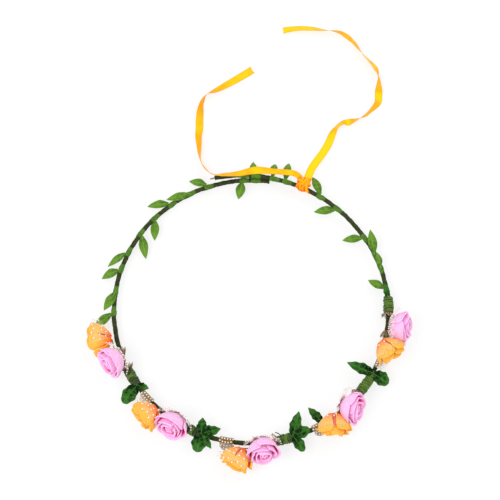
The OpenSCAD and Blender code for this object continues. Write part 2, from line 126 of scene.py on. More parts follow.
# The camera, from the photograph: its place, the point that it looks at and its focal length
CAMERA_PLACE = (-0.0008, -0.2688, 0.8707)
CAMERA_AIM = (-0.0009, 0.0441, 0.0)
CAMERA_LENS = 89.9
SENSOR = 36.0

# Square lamps that face the crown: name, place, size and power
LAMPS = (
    ("key_lamp", (-0.45, -0.35, 0.9), 0.5, 3.6),
    ("fill_lamp", (0.6, 0.35, 0.7), 0.6, 1.4),
)

# Strength of the surround's light, and how far the floor looks plain white
SURROUND = 0.84
FLOOR_WHITE = 0.75

# Petal rows from the bud outwards: count, radius at foot and belly, height of foot and rim, half turn, lip
PINK_ROWS = [
    (3, 1.4, 4.6, 3.0, 13.0, 80, 0.3),
    (4, 2.0, 6.9, 1.6, 12.6, 66, 0.7),
    (5, 1.8, 9.1, 0.3, 11.0, 54, 1.3),
]
ORANGE_ROWS = [
    (3, 1.4, 4.2, 3.0, 13.4, 78, 0.3),
    (4, 2.0, 6.6, 1.4, 12.8, 56, 0.8),
    (5, 1.8, 8.7, 0.0, 10.6, 43, 1.0),
]
# Radius at the belly from which a row of petals is the outer one
OUTER_PETALS = 7.5


def tint(red, green, blue):
    """A linear colour from the eight-bit one that a picture shows."""
    shares = [value / 255 for value in (red, green, blue)]
    return tuple(s / 12.92 if s <= 0.04045 else ((s + 0.055) / 1.055) ** 2.4 for s in shares)


def colour(label, note, red, green, blue):
    """A colour property with a picture colour as its default."""
    return FloatVectorProperty(
        name=label, description=note, subtype="COLOR", size=3, min=0, max=1, default=tint(red, green, blue)
    )


def length(label, note, millimetres):
    """A length property in metres."""
    return FloatProperty(name=label, description=note, unit="LENGTH", default=millimetres * MM, precision=5)


def ratio(label, note, value, **settings):
    """A share or an angle as a property."""
    return FloatProperty(name=label, description=note, default=value, **settings)


def toned(base, share, lift=0.0):
    """A colour times a share, no lighter than white."""
    return tuple(min(1.0, share * c + lift) for c in base)


class CrownSizes(bpy.types.PropertyGroup):
    """Sizes of the crown's looks."""

    ring_radius: length("Ring radius", "Radius of the vine's centre line", 100)
    vine_radius: length("Vine radius", "Radius of the taped vine", 1.7)
    tape_pitch: length("Tape pitch", "Distance from one lap of the vine's tape to the next", 5.5)
    tape_step: length("Tape step", "Height of a tape edge over the lap below", 0.16)
    cloth: length("Leaf cloth", "Thickness of the leaf cloth", 0.3)
    foam: length("Foam sheet", "Thickness of the foam petals", 0.85)
    lean: ratio("Lean", "How far the open roses lean outwards", math.radians(28), subtype="ANGLE")
    pink_spread: ratio("Pink spread", "Size of the open pink roses to their heads", 1.2)
    orange_spread: ratio("Orange spread", "Size of the open orange roses to their heads", 1.24)
    gauze_reach: length("Gauze reach", "Outer radius of a gauze ruffle", 11.7)
    net_pitch: length("Net pitch", "Distance between the threads of the gauze", 0.85)
    dot_radius: length("Dot radius", "Radius of a flock dot on the gauze", 0.42)
    dot_pitch: length("Dot pitch", "Distance between the flock dots", 2.8)
    veil_dot: ratio("Veil dot", "Size of the dots on the orange roses' net to the others", 1.3)
    cord_radius: length("Cord radius", "Half the width of the binding cord", 0.72)
    coil_radius: length("Coil radius", "Radius of the binding's turns", 3.05)
    ribbon_width: length("Ribbon width", "Width of the satin ribbon", 6)
    ribbon_thickness: length("Ribbon thickness", "Thickness of the satin ribbon", 0.2)


class CrownColours(bpy.types.PropertyGroup):
    """Colours of the crown's looks."""

    tape: colour("Tape", "Dark tape of the vine", 46, 58, 17)
    tab: colour("Leaf tab", "Green tape at the foot of a leaf", 84, 128, 36)
    leaf: colour("Leaf", "Small leaves", 102, 146, 42)
    leaf_shade: colour("Leaf shade", "Small leaves near the foot and between the veins", 56, 92, 22)
    dark_leaf: colour("Dark leaf", "Large leaves", 56, 110, 40)
    dark_leaf_shade: colour("Dark leaf shade", "Large leaves near the foot and between the veins", 2, 14, 4)
    pink: colour("Pink", "Rims of the pink petals", 255, 198, 241)
    # Painted shade in the folds of the pink roses
    pink_fold_shade: colour("Deep pink", "Folds of the pink roses", 255, 48, 146)
    orange: colour("Orange", "Rims of the orange petals", 255, 190, 76)
    # Painted shade in the folds of the orange roses
    orange_fold_shade: colour("Deep orange", "Folds of the orange roses", 255, 92, 0)
    net: colour("Net", "Threads of the gauze", 150, 112, 92)
    veil: colour("Veil", "Gathered net beside the orange roses", 140, 108, 48)
    dot: colour("Dots", "Flock dots on the gauze", 255, 250, 240)
    satin: colour("Satin", "Ribbon in the light", 255, 217, 8)
    satin_fold_shade: colour("Satin shade", "Ribbon in its folds", 249, 168, 2)
    knot: colour("Knot", "Ribbon of the knot", 255, 185, 8)
    knot_fold_shade: colour("Knot shade", "Creases of the knot", 248, 76, 0)
    cord: colour("Cord", "Binding cord", 88, 124, 30)
    cord_shade: colour("Cord shade", "Binding cord between its plies", 30, 48, 14)


# Shader building


class Socket:
    """A shader value that takes part in Python expressions; each operator adds one Math node."""

    def __init__(self, finish, socket):
        self.finish = finish
        self.socket = socket

    def _math(self, operation, first, second):
        return self.finish.node("ShaderNodeMath", {"operation": operation}, {0: first, 1: second})

    def __add__(self, other):
        return self._math("ADD", self, other)

    __radd__ = __add__

    def __mul__(self, other):
        return self._math("MULTIPLY", self, other)

    __rmul__ = __mul__

    def __sub__(self, other):
        return self._math("SUBTRACT", self, other)

    def __rsub__(self, other):
        return self._math("SUBTRACT", other, self)

    def __truediv__(self, other):
        return self._math("DIVIDE", self, other)

    def __rtruediv__(self, other):
        return self._math("DIVIDE", other, self)

    def __abs__(self):
        return self._math("ABSOLUTE", self, 0.0)

    def most(self, other):
        """The greater of two values."""
        return self._math("MAXIMUM", self, other)

    def ridge(self, pitch):
        """A triangle wave along the value: 1 at each whole pitch and 0 half way between."""
        share = self._math("FRACT", self / pitch, 0.0)
        return abs(share - 0.5) * 2.0

    def ease(self, low, high):
        """0 below low, 1 above high and smooth between them."""
        settings = {"interpolation_type": "SMOOTHSTEP"}
        return self.finish.node("ShaderNodeMapRange", settings, {0: self, 1: low, 2: high, 3: 0.0, 4: 1.0})


class Finish:
    """A procedural material, or the surround, under construction."""

    def __init__(self, name, kind="materials", shader="Principled BSDF"):
        self.block = getattr(bpy.data, kind).new(name)
        self.block.use_nodes = True
        self.tree = self.block.node_tree
        self.shader = self.tree.nodes[shader]

    def node(self, kind, settings=None, values=None, out=0):
        """Adds a node, sets it and feeds its inputs, and gives one of its outputs."""
        made = self.tree.nodes.new(kind)
        for key, value in (settings or {}).items():
            setattr(made, key, value)
        for key, value in (values or {}).items():
            self.feed(made.inputs[key], value)
        return Socket(self, made.outputs[out])

    def feed(self, socket, value):
        """Links a value to a socket, or sets the socket to a number or colour."""
        if isinstance(value, Socket):
            self.tree.links.new(value.socket, socket)
        elif hasattr(value, "__len__") and len(value) == 3 and socket.type == "RGBA":
            socket.default_value = (*value, 1.0)
        else:
            socket.default_value = value

    def spot(self):
        """The point of the surface, in the object's own metres."""
        return self.node("ShaderNodeTexCoord", out="Object")

    def attribute(self, name):
        """A number that the mesh carries at each of its points."""
        return self.node("ShaderNodeAttribute", {"attribute_name": name}, out="Fac")

    def noise(self, scale, detail=2.0, roughness=0.5):
        """Cloudy noise with this many lumps to the metre."""
        values = {"Vector": self.spot(), "Scale": scale, "Detail": detail, "Roughness": roughness}
        return self.node("ShaderNodeTexNoise", {}, values)

    def mix(self, share, first, second):
        """The first colour where share is 0 and the second where it is 1."""
        return self.node("ShaderNodeMix", {"data_type": "RGBA"}, {0: share, 6: first, 7: second}, out=2)

    def bump(self, height, strength, distance):
        """A surface normal from a height."""
        return self.node("ShaderNodeBump", {}, {"Strength": strength, "Distance": distance, "Height": height})

    def surface(self, values):
        """Feeds the surface shader and gives the material or surround."""
        for key, value in values.items():
            self.feed(self.shader.inputs[key], value)
        return self.block

    def whitened(self, kind, share):
        """Mixes plain white into what the camera, gloss and glass see."""
        end = self.shader.outputs[0].links[0].to_socket
        seen = self.node("ShaderNodeLightPath", out="Is Camera Ray")
        for ray in ("Is Glossy Ray", "Is Transmission Ray"):
            seen = seen.most(self.node("ShaderNodeLightPath", out=ray))
        white = self.node(kind, {}, {"Color": (1, 1, 1), "Strength": 1.0})
        lit = Socket(self, self.shader.outputs[0])
        self.feed(end, self.node("ShaderNodeMixShader", {}, {0: seen * share, 1: lit, 2: white}))


def tape_finish(colours):
    """Waxed cloth tape, dark along the vine and green where a leaf is bound on, with painted shade along the
    edge of each lap.
    """
    made = Finish("waxed_tape")
    lap = made.attribute("lap")
    tab = made.attribute("tab")
    blotch = made.noise(420.0, 3.0)
    fibre = made.noise(5200.0, 2.0, 0.7)
    dark = made.mix(blotch.ease(0.3, 0.75), toned(colours.tape, 0.62), toned(colours.tape, 1.35))
    green = made.mix(blotch.ease(0.25, 0.7), toned(colours.tab, 0.6), colours.tab)
    base = made.mix((tab + (blotch - 0.5) * 0.5).ease(0.3, 0.7), dark, green)
    # Painted shade along the edge of each lap of tape
    edge = made.mix(lap.ease(0.86, 1.0) * 0.55, base, toned(colours.tape, 0.35))
    return made.surface({
        "Base Color": edge,
        "Roughness": 0.5 + fibre * 0.3,
        "Normal": made.bump(fibre + blotch, 0.35, 0.0002),
        "Specular IOR Level": 0.2,
    })


def leaf_finish(name, light, shade, contrast, shine):
    """Pressed leaf cloth: midrib, slanting veins, mottling, weave and painted shade towards the foot."""
    made = Finish(name)
    across = abs(made.attribute("across"))
    along = made.attribute("along")
    mottle = made.noise(380.0, 4.0, 0.6)
    weave = made.noise(4200.0, 1.0)
    vein = (along - across * 0.22).ridge(0.125).ease(0.72, 1.0) * (1.0 - across).ease(0.0, 0.3)
    rib = (1.0 - across).ease(0.86, 0.97)
    # Darker towards the foot, in the shade colour, as painted shade; the mottling varies the tone at random
    body = made.mix((mottle * 1.1 + along * 0.4).ease(*contrast), shade, light)
    veined = made.mix(vein * 0.3, body, toned(light, 1.5))
    ribbed = made.mix(rib * 0.45, veined, toned(light, 1.7))
    edged = made.mix(across.ease(0.86, 1.0) * 0.35, ribbed, toned(light, 1.45))
    return made.surface({
        "Base Color": edged,
        "Roughness": 0.46 + mottle * 0.25,
        "Normal": made.bump(weave * 0.35 + vein * 0.8 + rib, 0.4, 0.00025),
        "Specular IOR Level": shine,
    })


def foam_finish(name, pale, fold_shade):
    """Soft foam sheet: pale rims, painted shade in the folds, fine cells and faint mottling."""
    made = Finish(name)
    blush = made.attribute("blush")
    mottle = made.noise(260.0, 3.0)
    cells = made.noise(3600.0, 2.0, 0.6)
    # The attribute is 1 on the lit rims and 0 deep in the folds, where the fold colour is painted shade
    share = (blush + (mottle - 0.5) * 0.22).ease(0.12, 1.0)
    folds = made.mix(share, fold_shade, pale)
    flecked = made.mix(cells.ease(0.55, 0.8) * 0.12, folds, toned(pale, 1.2, 0.04))
    return made.surface({
        "Base Color": flecked,
        "Roughness": 0.6 + cells * 0.25,
        "Normal": made.bump(cells + mottle * 0.6, 0.25, 0.0002),
        "Specular IOR Level": 0.25,
        "Subsurface Weight": 0.2,
        "Subsurface Radius": (0.004, 0.0016, 0.002),
        "Subsurface Scale": 0.5,
    })


def net_finish(name, brown, white, pitch, cover):
    """Fine net: threads both ways with open mesh between, brown where gathered and clear further out."""
    made = Finish(name)
    warp = made.attribute("across").ridge(pitch).ease(0.62, 0.78)
    weft = made.attribute("along").ridge(pitch).ease(0.62, 0.78)
    spread = made.attribute("spread")
    wear = made.noise(700.0, 2.0)
    speck = made.noise(1500.0, 1.0).ease(0.52, 0.62)
    thread = warp.most(weft)
    gathered = 1.0 - (spread + (wear - 0.5) * 0.3).ease(0.15, 0.55)
    rim = spread.ease(0.9, 0.99) * speck
    dense = gathered.most(rim)
    return made.surface({
        "Base Color": made.mix(dense, white, brown),
        "Alpha": thread * (cover + dense * (0.85 - cover)) + gathered * 0.3 + 0.03,
        "Roughness": 0.55 + wear * 0.2,
        "Normal": made.bump(thread, 0.4, 0.0001),
    })


def flock_finish(colours):
    """White flock of the dots."""
    made = Finish("flock_dots")
    fuzz = made.noise(6000.0, 2.0)
    return made.surface({
        "Base Color": made.mix(fuzz.ease(0.3, 0.8), colours.dot, toned(colours.dot, 0.86)),
        "Roughness": 0.7 + fuzz * 0.2,
        "Normal": made.bump(fuzz, 0.3, 0.0001),
    })


def satin_finish(name, light, fold_shade):
    """Satin: fine threads along the ribbon, a soft sheen, painted shade in its folds and a darker colour at
    its edges.
    """
    made = Finish(name)
    fold = made.attribute("fold")
    thread = made.attribute("across").ridge(0.00022)
    slub = made.noise(190.0, 3.0)
    selvedge = abs(made.attribute("across")).ease(0.0016, 0.003)
    # The fold number paints shade on the ribbon's folds and twists
    base = made.mix((fold + (slub - 0.5) * 0.8).ease(0.05, 0.95), light, fold_shade)
    lined = made.mix(thread * 0.1, base, fold_shade)
    edged = made.mix(selvedge * 0.4, lined, fold_shade)
    return made.surface({
        "Base Color": edged,
        "Roughness": 0.4 + slub * 0.16,
        "Normal": made.bump(thread * 0.5 + slub, 0.22, 0.00015),
        "Anisotropic": 0.4,
        "Specular IOR Level": 0.15,
    })


def cord_finish(colours):
    """Twisted paper cord: two plies with painted shade in the hollows between them."""
    made = Finish("paper_cord")
    ply = (made.attribute("along") + made.attribute("across") * 0.5).ridge(PLY_PITCH)
    light = made.attribute("light")
    fibre = made.noise(2600.0, 3.0, 0.7)
    patch = made.noise(330.0, 2.0)
    dark = toned(colours.cord_shade, 1.25)
    body = made.mix((light + (patch - 0.5) * 0.5).ease(0.0, 1.0), dark, colours.cord)
    # Painted shade in the hollows between the plies
    return made.surface({
        "Base Color": made.mix(ply.ease(0.5, 1.0) * 0.6, body, toned(colours.cord_shade, 0.55)),
        "Roughness": 0.55 + fibre * 0.3,
        "Normal": made.bump(fibre * 0.5 - ply, 0.5, 0.0003),
    })


def wire_finish(name, base, metallic):
    """Drawn wire with fine scratches and dull patches."""
    made = Finish(name)
    scratch = made.noise(3000.0, 2.0)
    patch = made.noise(200.0, 3.0)
    return made.surface({
        "Base Color": made.mix(patch.ease(0.3, 0.7), toned(base, 0.7), toned(base, 1.2)),
        "Metallic": metallic,
        "Roughness": 0.35 + scratch * 0.25,
        "Normal": made.bump(scratch, 0.15, 0.0001),
    })


# Mesh building


def alone(piece):
    """Selects one object and makes it active."""
    bpy.ops.object.select_all(action="DESELECT")
    piece.select_set(True)
    bpy.context.view_layer.objects.active = piece


@contextmanager
def editing(piece):
    """Opens one piece to mesh operators, with all of it selected."""
    alone(piece)
    bpy.ops.object.mode_set(mode="EDIT")
    bpy.ops.mesh.select_all(action="SELECT")
    yield
    bpy.ops.object.mode_set(mode="OBJECT")


def named(name):
    """Names the active object and its mesh."""
    piece = bpy.context.object
    piece.name = name
    piece.data.name = name
    return piece


def added(name, primitive, **settings):
    """Adds a primitive and names it."""
    bpy.ops.object.select_all(action="DESELECT")
    primitive(**settings)
    return named(name)


def sheet_start(name, across, along):
    """A grid of so many columns and rows of faces, with the u (-1 to 1) and v (0 to 1) of its points."""
    piece = added(name, bpy.ops.mesh.primitive_grid_add, x_subdivisions=across, y_subdivisions=along, size=2)
    grid = points_of(piece)
    return piece, grid[:, 0], (grid[:, 1] + 1) / 2


def points_of(piece):
    """The mesh's points as an array."""
    points = np.empty(len(piece.data.vertices) * 3)
    piece.data.vertices.foreach_get("co", points)
    return points.reshape(-1, 3)


def set_points(piece, points):
    """Moves the mesh's points."""
    piece.data.vertices.foreach_set("co", np.asarray(points, float).ravel())
    piece.data.update()


def carry(piece, **layers):
    """Stores numbers at each point of the mesh, for its material."""
    for name, values in layers.items():
        layer = piece.data.attributes.get(name) or piece.data.attributes.new(name, "FLOAT", "POINT")
        layer.data.foreach_set("value", np.full(len(piece.data.vertices), values, np.float32))


def modified(piece, kind, **settings):
    """Adds a modifier, sets it and applies it."""
    alone(piece)
    bpy.ops.object.modifier_add(type=kind)
    modifier = piece.modifiers[-1]
    for key, value in settings.items():
        setattr(modifier, key, value)
    bpy.ops.object.modifier_apply(modifier=modifier.name)


def thickened(piece, thickness, offset=0.0):
    """Gives a sheet its thickness."""
    modified(piece, "SOLIDIFY", thickness=thickness, offset=offset)


def rounded(piece):
    """Divides the faces once and rounds the edges."""
    modified(piece, "SUBSURF", levels=1, render_levels=1)


def outward(piece):
    """Makes the faces of a closed piece point outwards."""
    with editing(piece):
        bpy.ops.mesh.normals_make_consistent(inside=False)


def joined(name, parts):
    """Joins parts into one named piece."""
    bpy.ops.object.select_all(action="DESELECT")
    for part in parts:
        part.select_set(True)
    bpy.context.view_layer.objects.active = parts[0]
    if len(parts) > 1:
        bpy.ops.object.join()
    return named(name)


def copied(pattern, name):
    """A copy of a pattern with its own mesh."""
    alone(pattern)
    bpy.ops.object.duplicate(linked=False)
    return named(name)


def dropped(piece):
    """Removes a pattern that isn't shown."""
    mesh = piece.data
    bpy.data.objects.remove(piece)
    bpy.data.meshes.remove(mesh)


def painted(piece, material):
    """Gives a piece its only material."""
    piece.data.materials.clear()
    piece.data.materials.append(material)


def settled(piece, body, slot, material, *nodes):
    """Finishes a piece: smooth faces, material, body and the nodes that it stands for; the slot is not used.
    """
    alone(piece)
    bpy.ops.object.shade_smooth_by_angle(angle=SMOOTH_ANGLE)
    painted(piece, material)
    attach(piece, body)
    if nodes:
        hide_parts(*nodes)


def islands(node):
    """The separate solids of a CAD node, each as an array of points."""
    copy = NODES[node].copy()
    copy.data = NODES[node].data.copy()
    bpy.context.collection.objects.link(copy)
    copy.parent = None
    copy.hide_viewport = False
    copy.hide_set(False)
    with editing(copy):
        bpy.ops.mesh.remove_doubles(threshold=0.01 * MM)
        bpy.ops.mesh.separate(type="LOOSE")
    parts = list(bpy.context.selected_objects)
    clouds = [points_of(part) for part in parts]
    for part in parts:
        dropped(part)
    return sorted(clouds, key=lambda cloud: tuple(cloud.mean(0).round(6)))


# Points and numbers


def unit(vectors):
    """A vector, or each row of vectors, at length 1."""
    vectors = np.asarray(vectors, float)
    return vectors / np.linalg.norm(vectors, axis=-1, keepdims=True)


def placed(points, origin, x_axis, y_axis, z_axis):
    """Points of a local frame, in the crown's frame."""
    return np.asarray(origin) + points @ np.array([x_axis, y_axis, z_axis])


def moved(points, matrix):
    """Points moved by a matrix."""
    matrix = np.array(matrix)
    return points @ matrix[:3, :3].T + matrix[:3, 3]


def polar(radius, angle, height):
    """Points about the Z axis."""
    return np.stack([radius * np.cos(angle), radius * np.sin(angle), height], 1)


def wound(radius, angle, run):
    """Points about the Y axis."""
    return np.stack([radius * np.cos(angle), run, radius * np.sin(angle)], 1)


def reaches(points):
    """The distance of each point from the Z axis."""
    return np.hypot(points[:, 0], points[:, 1])


def lengths(path):
    """The way along a path from its start to each of its points."""
    return np.concatenate([[0], np.cumsum(np.linalg.norm(np.diff(path, axis=0), axis=1))])


def wrapped(angle):
    """The angle between minus and plus half a turn."""
    return (angle + math.pi) % (2 * math.pi) - math.pi


def bell(value, width):
    """1 at zero, falling away smoothly over the width."""
    return np.exp(-((value / width) ** 2))


def ramp(low, high, value):
    """0 below low, 1 above high and smooth between them."""
    share = np.clip((value - low) / (high - low), 0, 1)
    return share * share * (3 - 2 * share)


# Leaves


def blade_of(cloud, distance):
    """Root, heading, length, width and droop of a CAD leaf; its root is the end with the lesser distance."""
    flat = cloud[:, :2]
    first = flat[((flat - flat.mean(0)) ** 2).sum(1).argmax()]
    second = flat[((flat - first) ** 2).sum(1).argmax()]
    root, tip = sorted((first, second), key=distance)
    span = np.linalg.norm(tip - root)
    heading = (tip - root) / span
    side = np.array([heading[1], -heading[0]])
    width = 2 * np.abs((flat - root) @ side).max()
    near = 0.4 * MM
    root_z = cloud[np.linalg.norm(flat - root, axis=1) < near, 2].mean()
    tip_z = cloud[np.linalg.norm(flat - tip, axis=1) < near, 2].mean()
    return {"root": root, "heading": heading, "side": side, "length": span, "width": width,
            "z": root_z, "droop": root_z - tip_z}


def small_blade(name):
    """The blade of one small leaf; its root is the end nearest to the ring."""
    ring = bpy.context.scene.crown_sizes.ring_radius
    return blade_of(np.concatenate(islands(name)), lambda end: abs(math.hypot(*end) - ring))


def large_blades(spray):
    """The blades of a spray's large leaves; a root is the end nearest to the middle of the binding."""
    hub = np.array(JOINTS[spray]["pos_m"][:2])
    return [blade_of(cloud, lambda end: np.linalg.norm(end - hub)) for cloud in islands(f"{spray}_leaves")]


def leaf_pattern(name, columns, rows, outline):
    """A flat leaf a metre long and wide at most, shaped row by row from a grid."""
    leaf = sheet_start(name, columns, rows)[0]
    with editing(leaf):
        bpy.ops.transform.resize(value=(0.5, 0.5, 1), center_override=(0, -1, 0))
        bpy.ops.transform.translate(value=(0, 1, 0))
    points = points_of(leaf)
    carry(leaf, across=points[:, 0] * 2, along=points[:, 1])
    for height in np.unique(points[:, 1].round(5)):
        in_row = np.abs(points[:, 1] - height) < 1e-4
        leaf.data.vertices.foreach_set("select", in_row)
        leaf.data.edges.foreach_set("select", np.zeros(len(leaf.data.edges), bool))
        leaf.data.polygons.foreach_set("select", np.zeros(len(leaf.data.polygons), bool))
        bpy.ops.object.mode_set(mode="EDIT")
        bpy.ops.transform.resize(value=(max(outline(height), 0.02), 1, 1), center_override=(0, height, 0))
        bpy.ops.object.mode_set(mode="OBJECT")
    return leaf


def small_outline(share):
    """Half width of a small leaf along its length: a broad foot and a sharp tip."""
    rise = math.sin(math.pi / 2 * min(share / 0.45, 1)) ** 0.6
    fall = 1 - max(0, (share - 0.4) / 0.6) ** 1.9
    return max(rise * fall, 0.42 * (1 - share / 0.3))


def large_outline(share):
    """Half width of a long large leaf: full shoulders, angular lobes and a sharp tip."""
    lobe = 1 - abs(2 * ((3.4 * share) % 1) - 1)
    return math.sin(math.pi * share ** 0.72) ** 0.75 * (0.82 + 0.24 * lobe)


def blunt_outline(share):
    """Half width of a short large leaf: widest beyond its middle, with a blunt, lobed end."""
    lobe = 1 - abs(2 * ((2.6 * share) % 1) - 1)
    return math.sin(math.pi * share ** 1.02) ** 0.48 * (0.86 + 0.2 * lobe)


def sag(blade, y):
    """How far a leaf has bent down at a distance from its root."""
    bend = max(abs(blade["droop"]), LEAST_DROOP)
    radius = (blade["length"] ** 2 + bend ** 2) / (2 * bend)
    fall = radius - np.sqrt(radius ** 2 - np.clip(y, 0, None) ** 2)
    return fall * math.copysign(1, blade["droop"])


def on_blade(blade, x, y, z):
    """Points across, along and above a leaf, in the crown's frame."""
    root = (*blade["root"], blade["z"])
    return placed(np.stack([x, y, z], 1), root, (*blade["side"], 0), (*blade["heading"], 0), (0, 0, 1))


def grown(pattern, name, blade, cloth, ripple, cup, seed):
    """A copy of a leaf pattern, sized, bent and set where the CAD leaf is."""
    leaf = copied(pattern, name)
    flat = points_of(leaf)
    chance = random.Random(seed)
    u = np.abs(flat[:, 0]) * 2
    v = flat[:, 1]
    x = flat[:, 0] * blade["width"]
    y = v * blade["length"]
    wave = ripple * u * np.sin(v * math.pi * 5 + chance.uniform(0, 6.3))
    twist = chance.uniform(-0.08, 0.08) * x * v
    z = cup * (u ** 1.5 - 0.35) * np.sin(math.pi * v) * blade["width"] + wave + twist - sag(blade, y)
    set_points(leaf, on_blade(blade, x, y, z))
    thickened(leaf, cloth)
    rounded(leaf)
    return leaf


def stalk(blade, radius, back, share):
    """A tapered stalk that runs under a leaf from what carries it."""
    reach = back + share * blade["length"]
    tip = 0.35 * radius
    rod = added("stalk", bpy.ops.mesh.primitive_cone_add, vertices=8, radius1=radius, radius2=tip,
                depth=reach)
    with editing(rod):
        bpy.ops.mesh.subdivide(number_cuts=3)
    x, z, run = points_of(rod).T
    y = run + reach / 2 - back
    set_points(rod, on_blade(blade, x, y, z - sag(blade, y) - tip))
    outward(rod)
    carry(rod, across=0.0, along=0.4)
    return rod


# Roses


def petal(name, row, turn, foam, wild, shade_reach):
    """One foam petal: a grid wrapped round the rose's axis, with a rounded rim and a rolled lip."""
    _, foot_r, rim_r, foot_z, rim_z, half, lip = row
    outer_row = rim_r > OUTER_PETALS
    rim_r *= wild.uniform(0.93, 1.06)
    rim_z += wild.uniform(-0.9, 0.7)
    slant = wild.uniform(-0.9, 0.9)
    sheet, u, t = sheet_start(name, 14, 10)
    climb = t * (0.55 + 0.45 * np.sqrt(np.clip(1 - np.abs(u) ** 2.6, 0, 1)))
    roll = np.clip((climb - 0.74) / 0.26, 0, 1) ** 2
    angle = math.radians(half) * u * (0.45 + 0.55 * np.sqrt(climb)) + turn
    radius = foot_r + (rim_r - foot_r) * (1 - (1 - climb) ** 3) + lip * roll + 0.6 * u * np.sqrt(climb)
    radius += 0.35 * np.sin(3 * u + wild.uniform(0, 6.3)) * climb ** 2
    height = foot_z + (rim_z - foot_z) * climb ** 0.9 - 0.4 * lip * roll + slant * u * climb
    local = polar(radius, angle, height) * MM
    set_points(sheet, local)
    thickened(sheet, foam)
    beyond = reaches(points_of(sheet)) - np.tile(reaches(local), 2)
    share = np.tile(t, 2)
    # Painted shade: deep towards the petal's foot, reaching higher up its inner face than its back
    inside = ramp(0.55, 1.0, share)
    outside = ramp(-0.5, shade_reach, share) if outer_row else ramp(0.25, 0.65, share)
    carry(sheet, blush=np.where(beyond > 0, outside, inside))
    rounded(sheet)
    return sheet


def bud(name, foam):
    """The rolled strip of foam at the heart of a rose."""
    strip, u, t = sheet_start(name, 40, 6)
    run = (u + 1) / 2
    angle = run * math.radians(800)
    radius = (0.55 + 2.35 * run) * (0.75 + 0.25 * t)
    height = 4.0 + (8.3 - 0.9 * run + 0.25 * np.sin(3 * angle)) * t
    set_points(strip, polar(radius, angle, height) * MM)
    thickened(strip, 0.8 * foam)
    # Painted shade, deep towards the foot of the bud
    carry(strip, blush=np.tile(ramp(0.68, 1.0, t), 2))
    rounded(strip)
    return strip


def rose_pattern(name, rows, foam, seed, shade_reach, spread):
    """A whole rose about the Z axis, with its foot at the origin."""
    wild = random.Random(seed)
    parts = [bud(name, foam)]
    for number, row in enumerate(rows):
        for k in range(row[0]):
            turn = math.radians(360 * k / row[0] + 37 * number + wild.uniform(-7, 7))
            parts.append(petal(f"{name}_petal", row, turn, foam, wild, shade_reach))
    foot = added("foot", bpy.ops.mesh.primitive_cone_add, vertices=20, radius1=1.5 * MM, radius2=3.4 * MM,
                 depth=3.2 * MM, location=(0, 0, 1.7 * MM))
    bpy.ops.object.transform_apply(location=True, rotation=False, scale=False)
    modified(foot, "BEVEL", width=0.5 * MM, segments=3)
    # The foot is mostly in painted shade
    carry(foot, blush=0.25)
    rose = joined(name, parts + [foot])
    middle = np.array((0, 0, HEAD_MIDDLE))
    set_points(rose, (points_of(rose) - middle) * spread + middle)
    return rose


def head_of(cloud, out):
    """Foot and axes of a rose head, as placed takes them, from its CAD points; its Z axis faces outwards."""
    centre = cloud.mean(0)
    spread, axes = np.linalg.eigh(np.cov((cloud - centre).T))
    odd = 0 if spread[1] - spread[0] > spread[2] - spread[1] else 2
    facing = axes[:, odd] * math.copysign(1, axes[:, odd] @ out)
    foot = centre + facing * ((cloud - centre) @ facing).min()
    level = unit((facing[0], facing[1], 0))
    down = facing[2] * level - math.hypot(facing[0], facing[1]) * np.array((0, 0, 1))
    return {"foot": foot, "x": down, "y": np.cross(facing, down), "z": facing}


def head_at(spray, rose, lean):
    """The head of one rose of a spray, leaning outwards about its middle."""
    cloud = np.unique(np.concatenate(islands(f"{spray}_{rose}_rose")).round(6), axis=0)
    head = head_of(cloud, unit((*JOINTS[spray]["pos_m"][:2], 0)))
    middle = head["foot"] + HEAD_MIDDLE * head["z"]
    facing = math.cos(lean) * head["z"] + math.sin(lean) * head["x"]
    down = math.cos(lean) * head["x"] - math.sin(lean) * head["z"]
    return {"foot": middle - HEAD_MIDDLE * facing, "x": down, "y": head["y"], "z": facing}


# The vine's room and its outer end


def cleared(points, spray, upwards=False):
    """Points pushed outwards or upwards, so that they clear the vine over the whole turn of their spray."""
    joint = JOINTS[spray]
    hub = np.array(joint["pos_m"])
    ring = bpy.context.scene.crown_sizes.ring_radius
    for turn in np.linspace(*joint["range_deg"], 5):
        spin = np.array(Matrix.Rotation(math.radians(turn), 3, joint["axis"]))
        spots = (points - hub) @ spin.T + hub
        reach = reaches(spots)
        side, height = reach - ring, spots[:, 2] - hub[2]
        if upwards:
            side, height = height, side
        wall = WALL_REACH * VINE_ROOM - WALL_CURVE * height ** 2 / VINE_ROOM
        beyond = side - wall
        push = wall + (beyond + np.sqrt(beyond ** 2 + (WALL_SOFT * VINE_ROOM) ** 2)) / 2 - side
        if upwards:
            spots[:, 2] += push
        else:
            spots[:, :2] *= (1 + push / reach)[:, None]
        points = (spots - hub) @ spin + hub
    return points


def outer_arc(ring):
    """The frame of the arc that the vine's outer end follows as it leaves the ring and climbs."""
    turn = Matrix.Rotation(math.radians(OVERLAP_START), 4, "Z")
    lift = Matrix.Rotation(math.radians(OUTER_LIFT), 4, "X")
    return turn @ lift @ Matrix.Translation((ring - OUTER_RADIUS, 0, 0))


# Operators


class CrownMaker:
    """What the operators share: the sizes and the colours that the scene holds."""

    @property
    def sizes(self):
        return bpy.context.scene.crown_sizes

    @property
    def colours(self):
        return bpy.context.scene.crown_colours


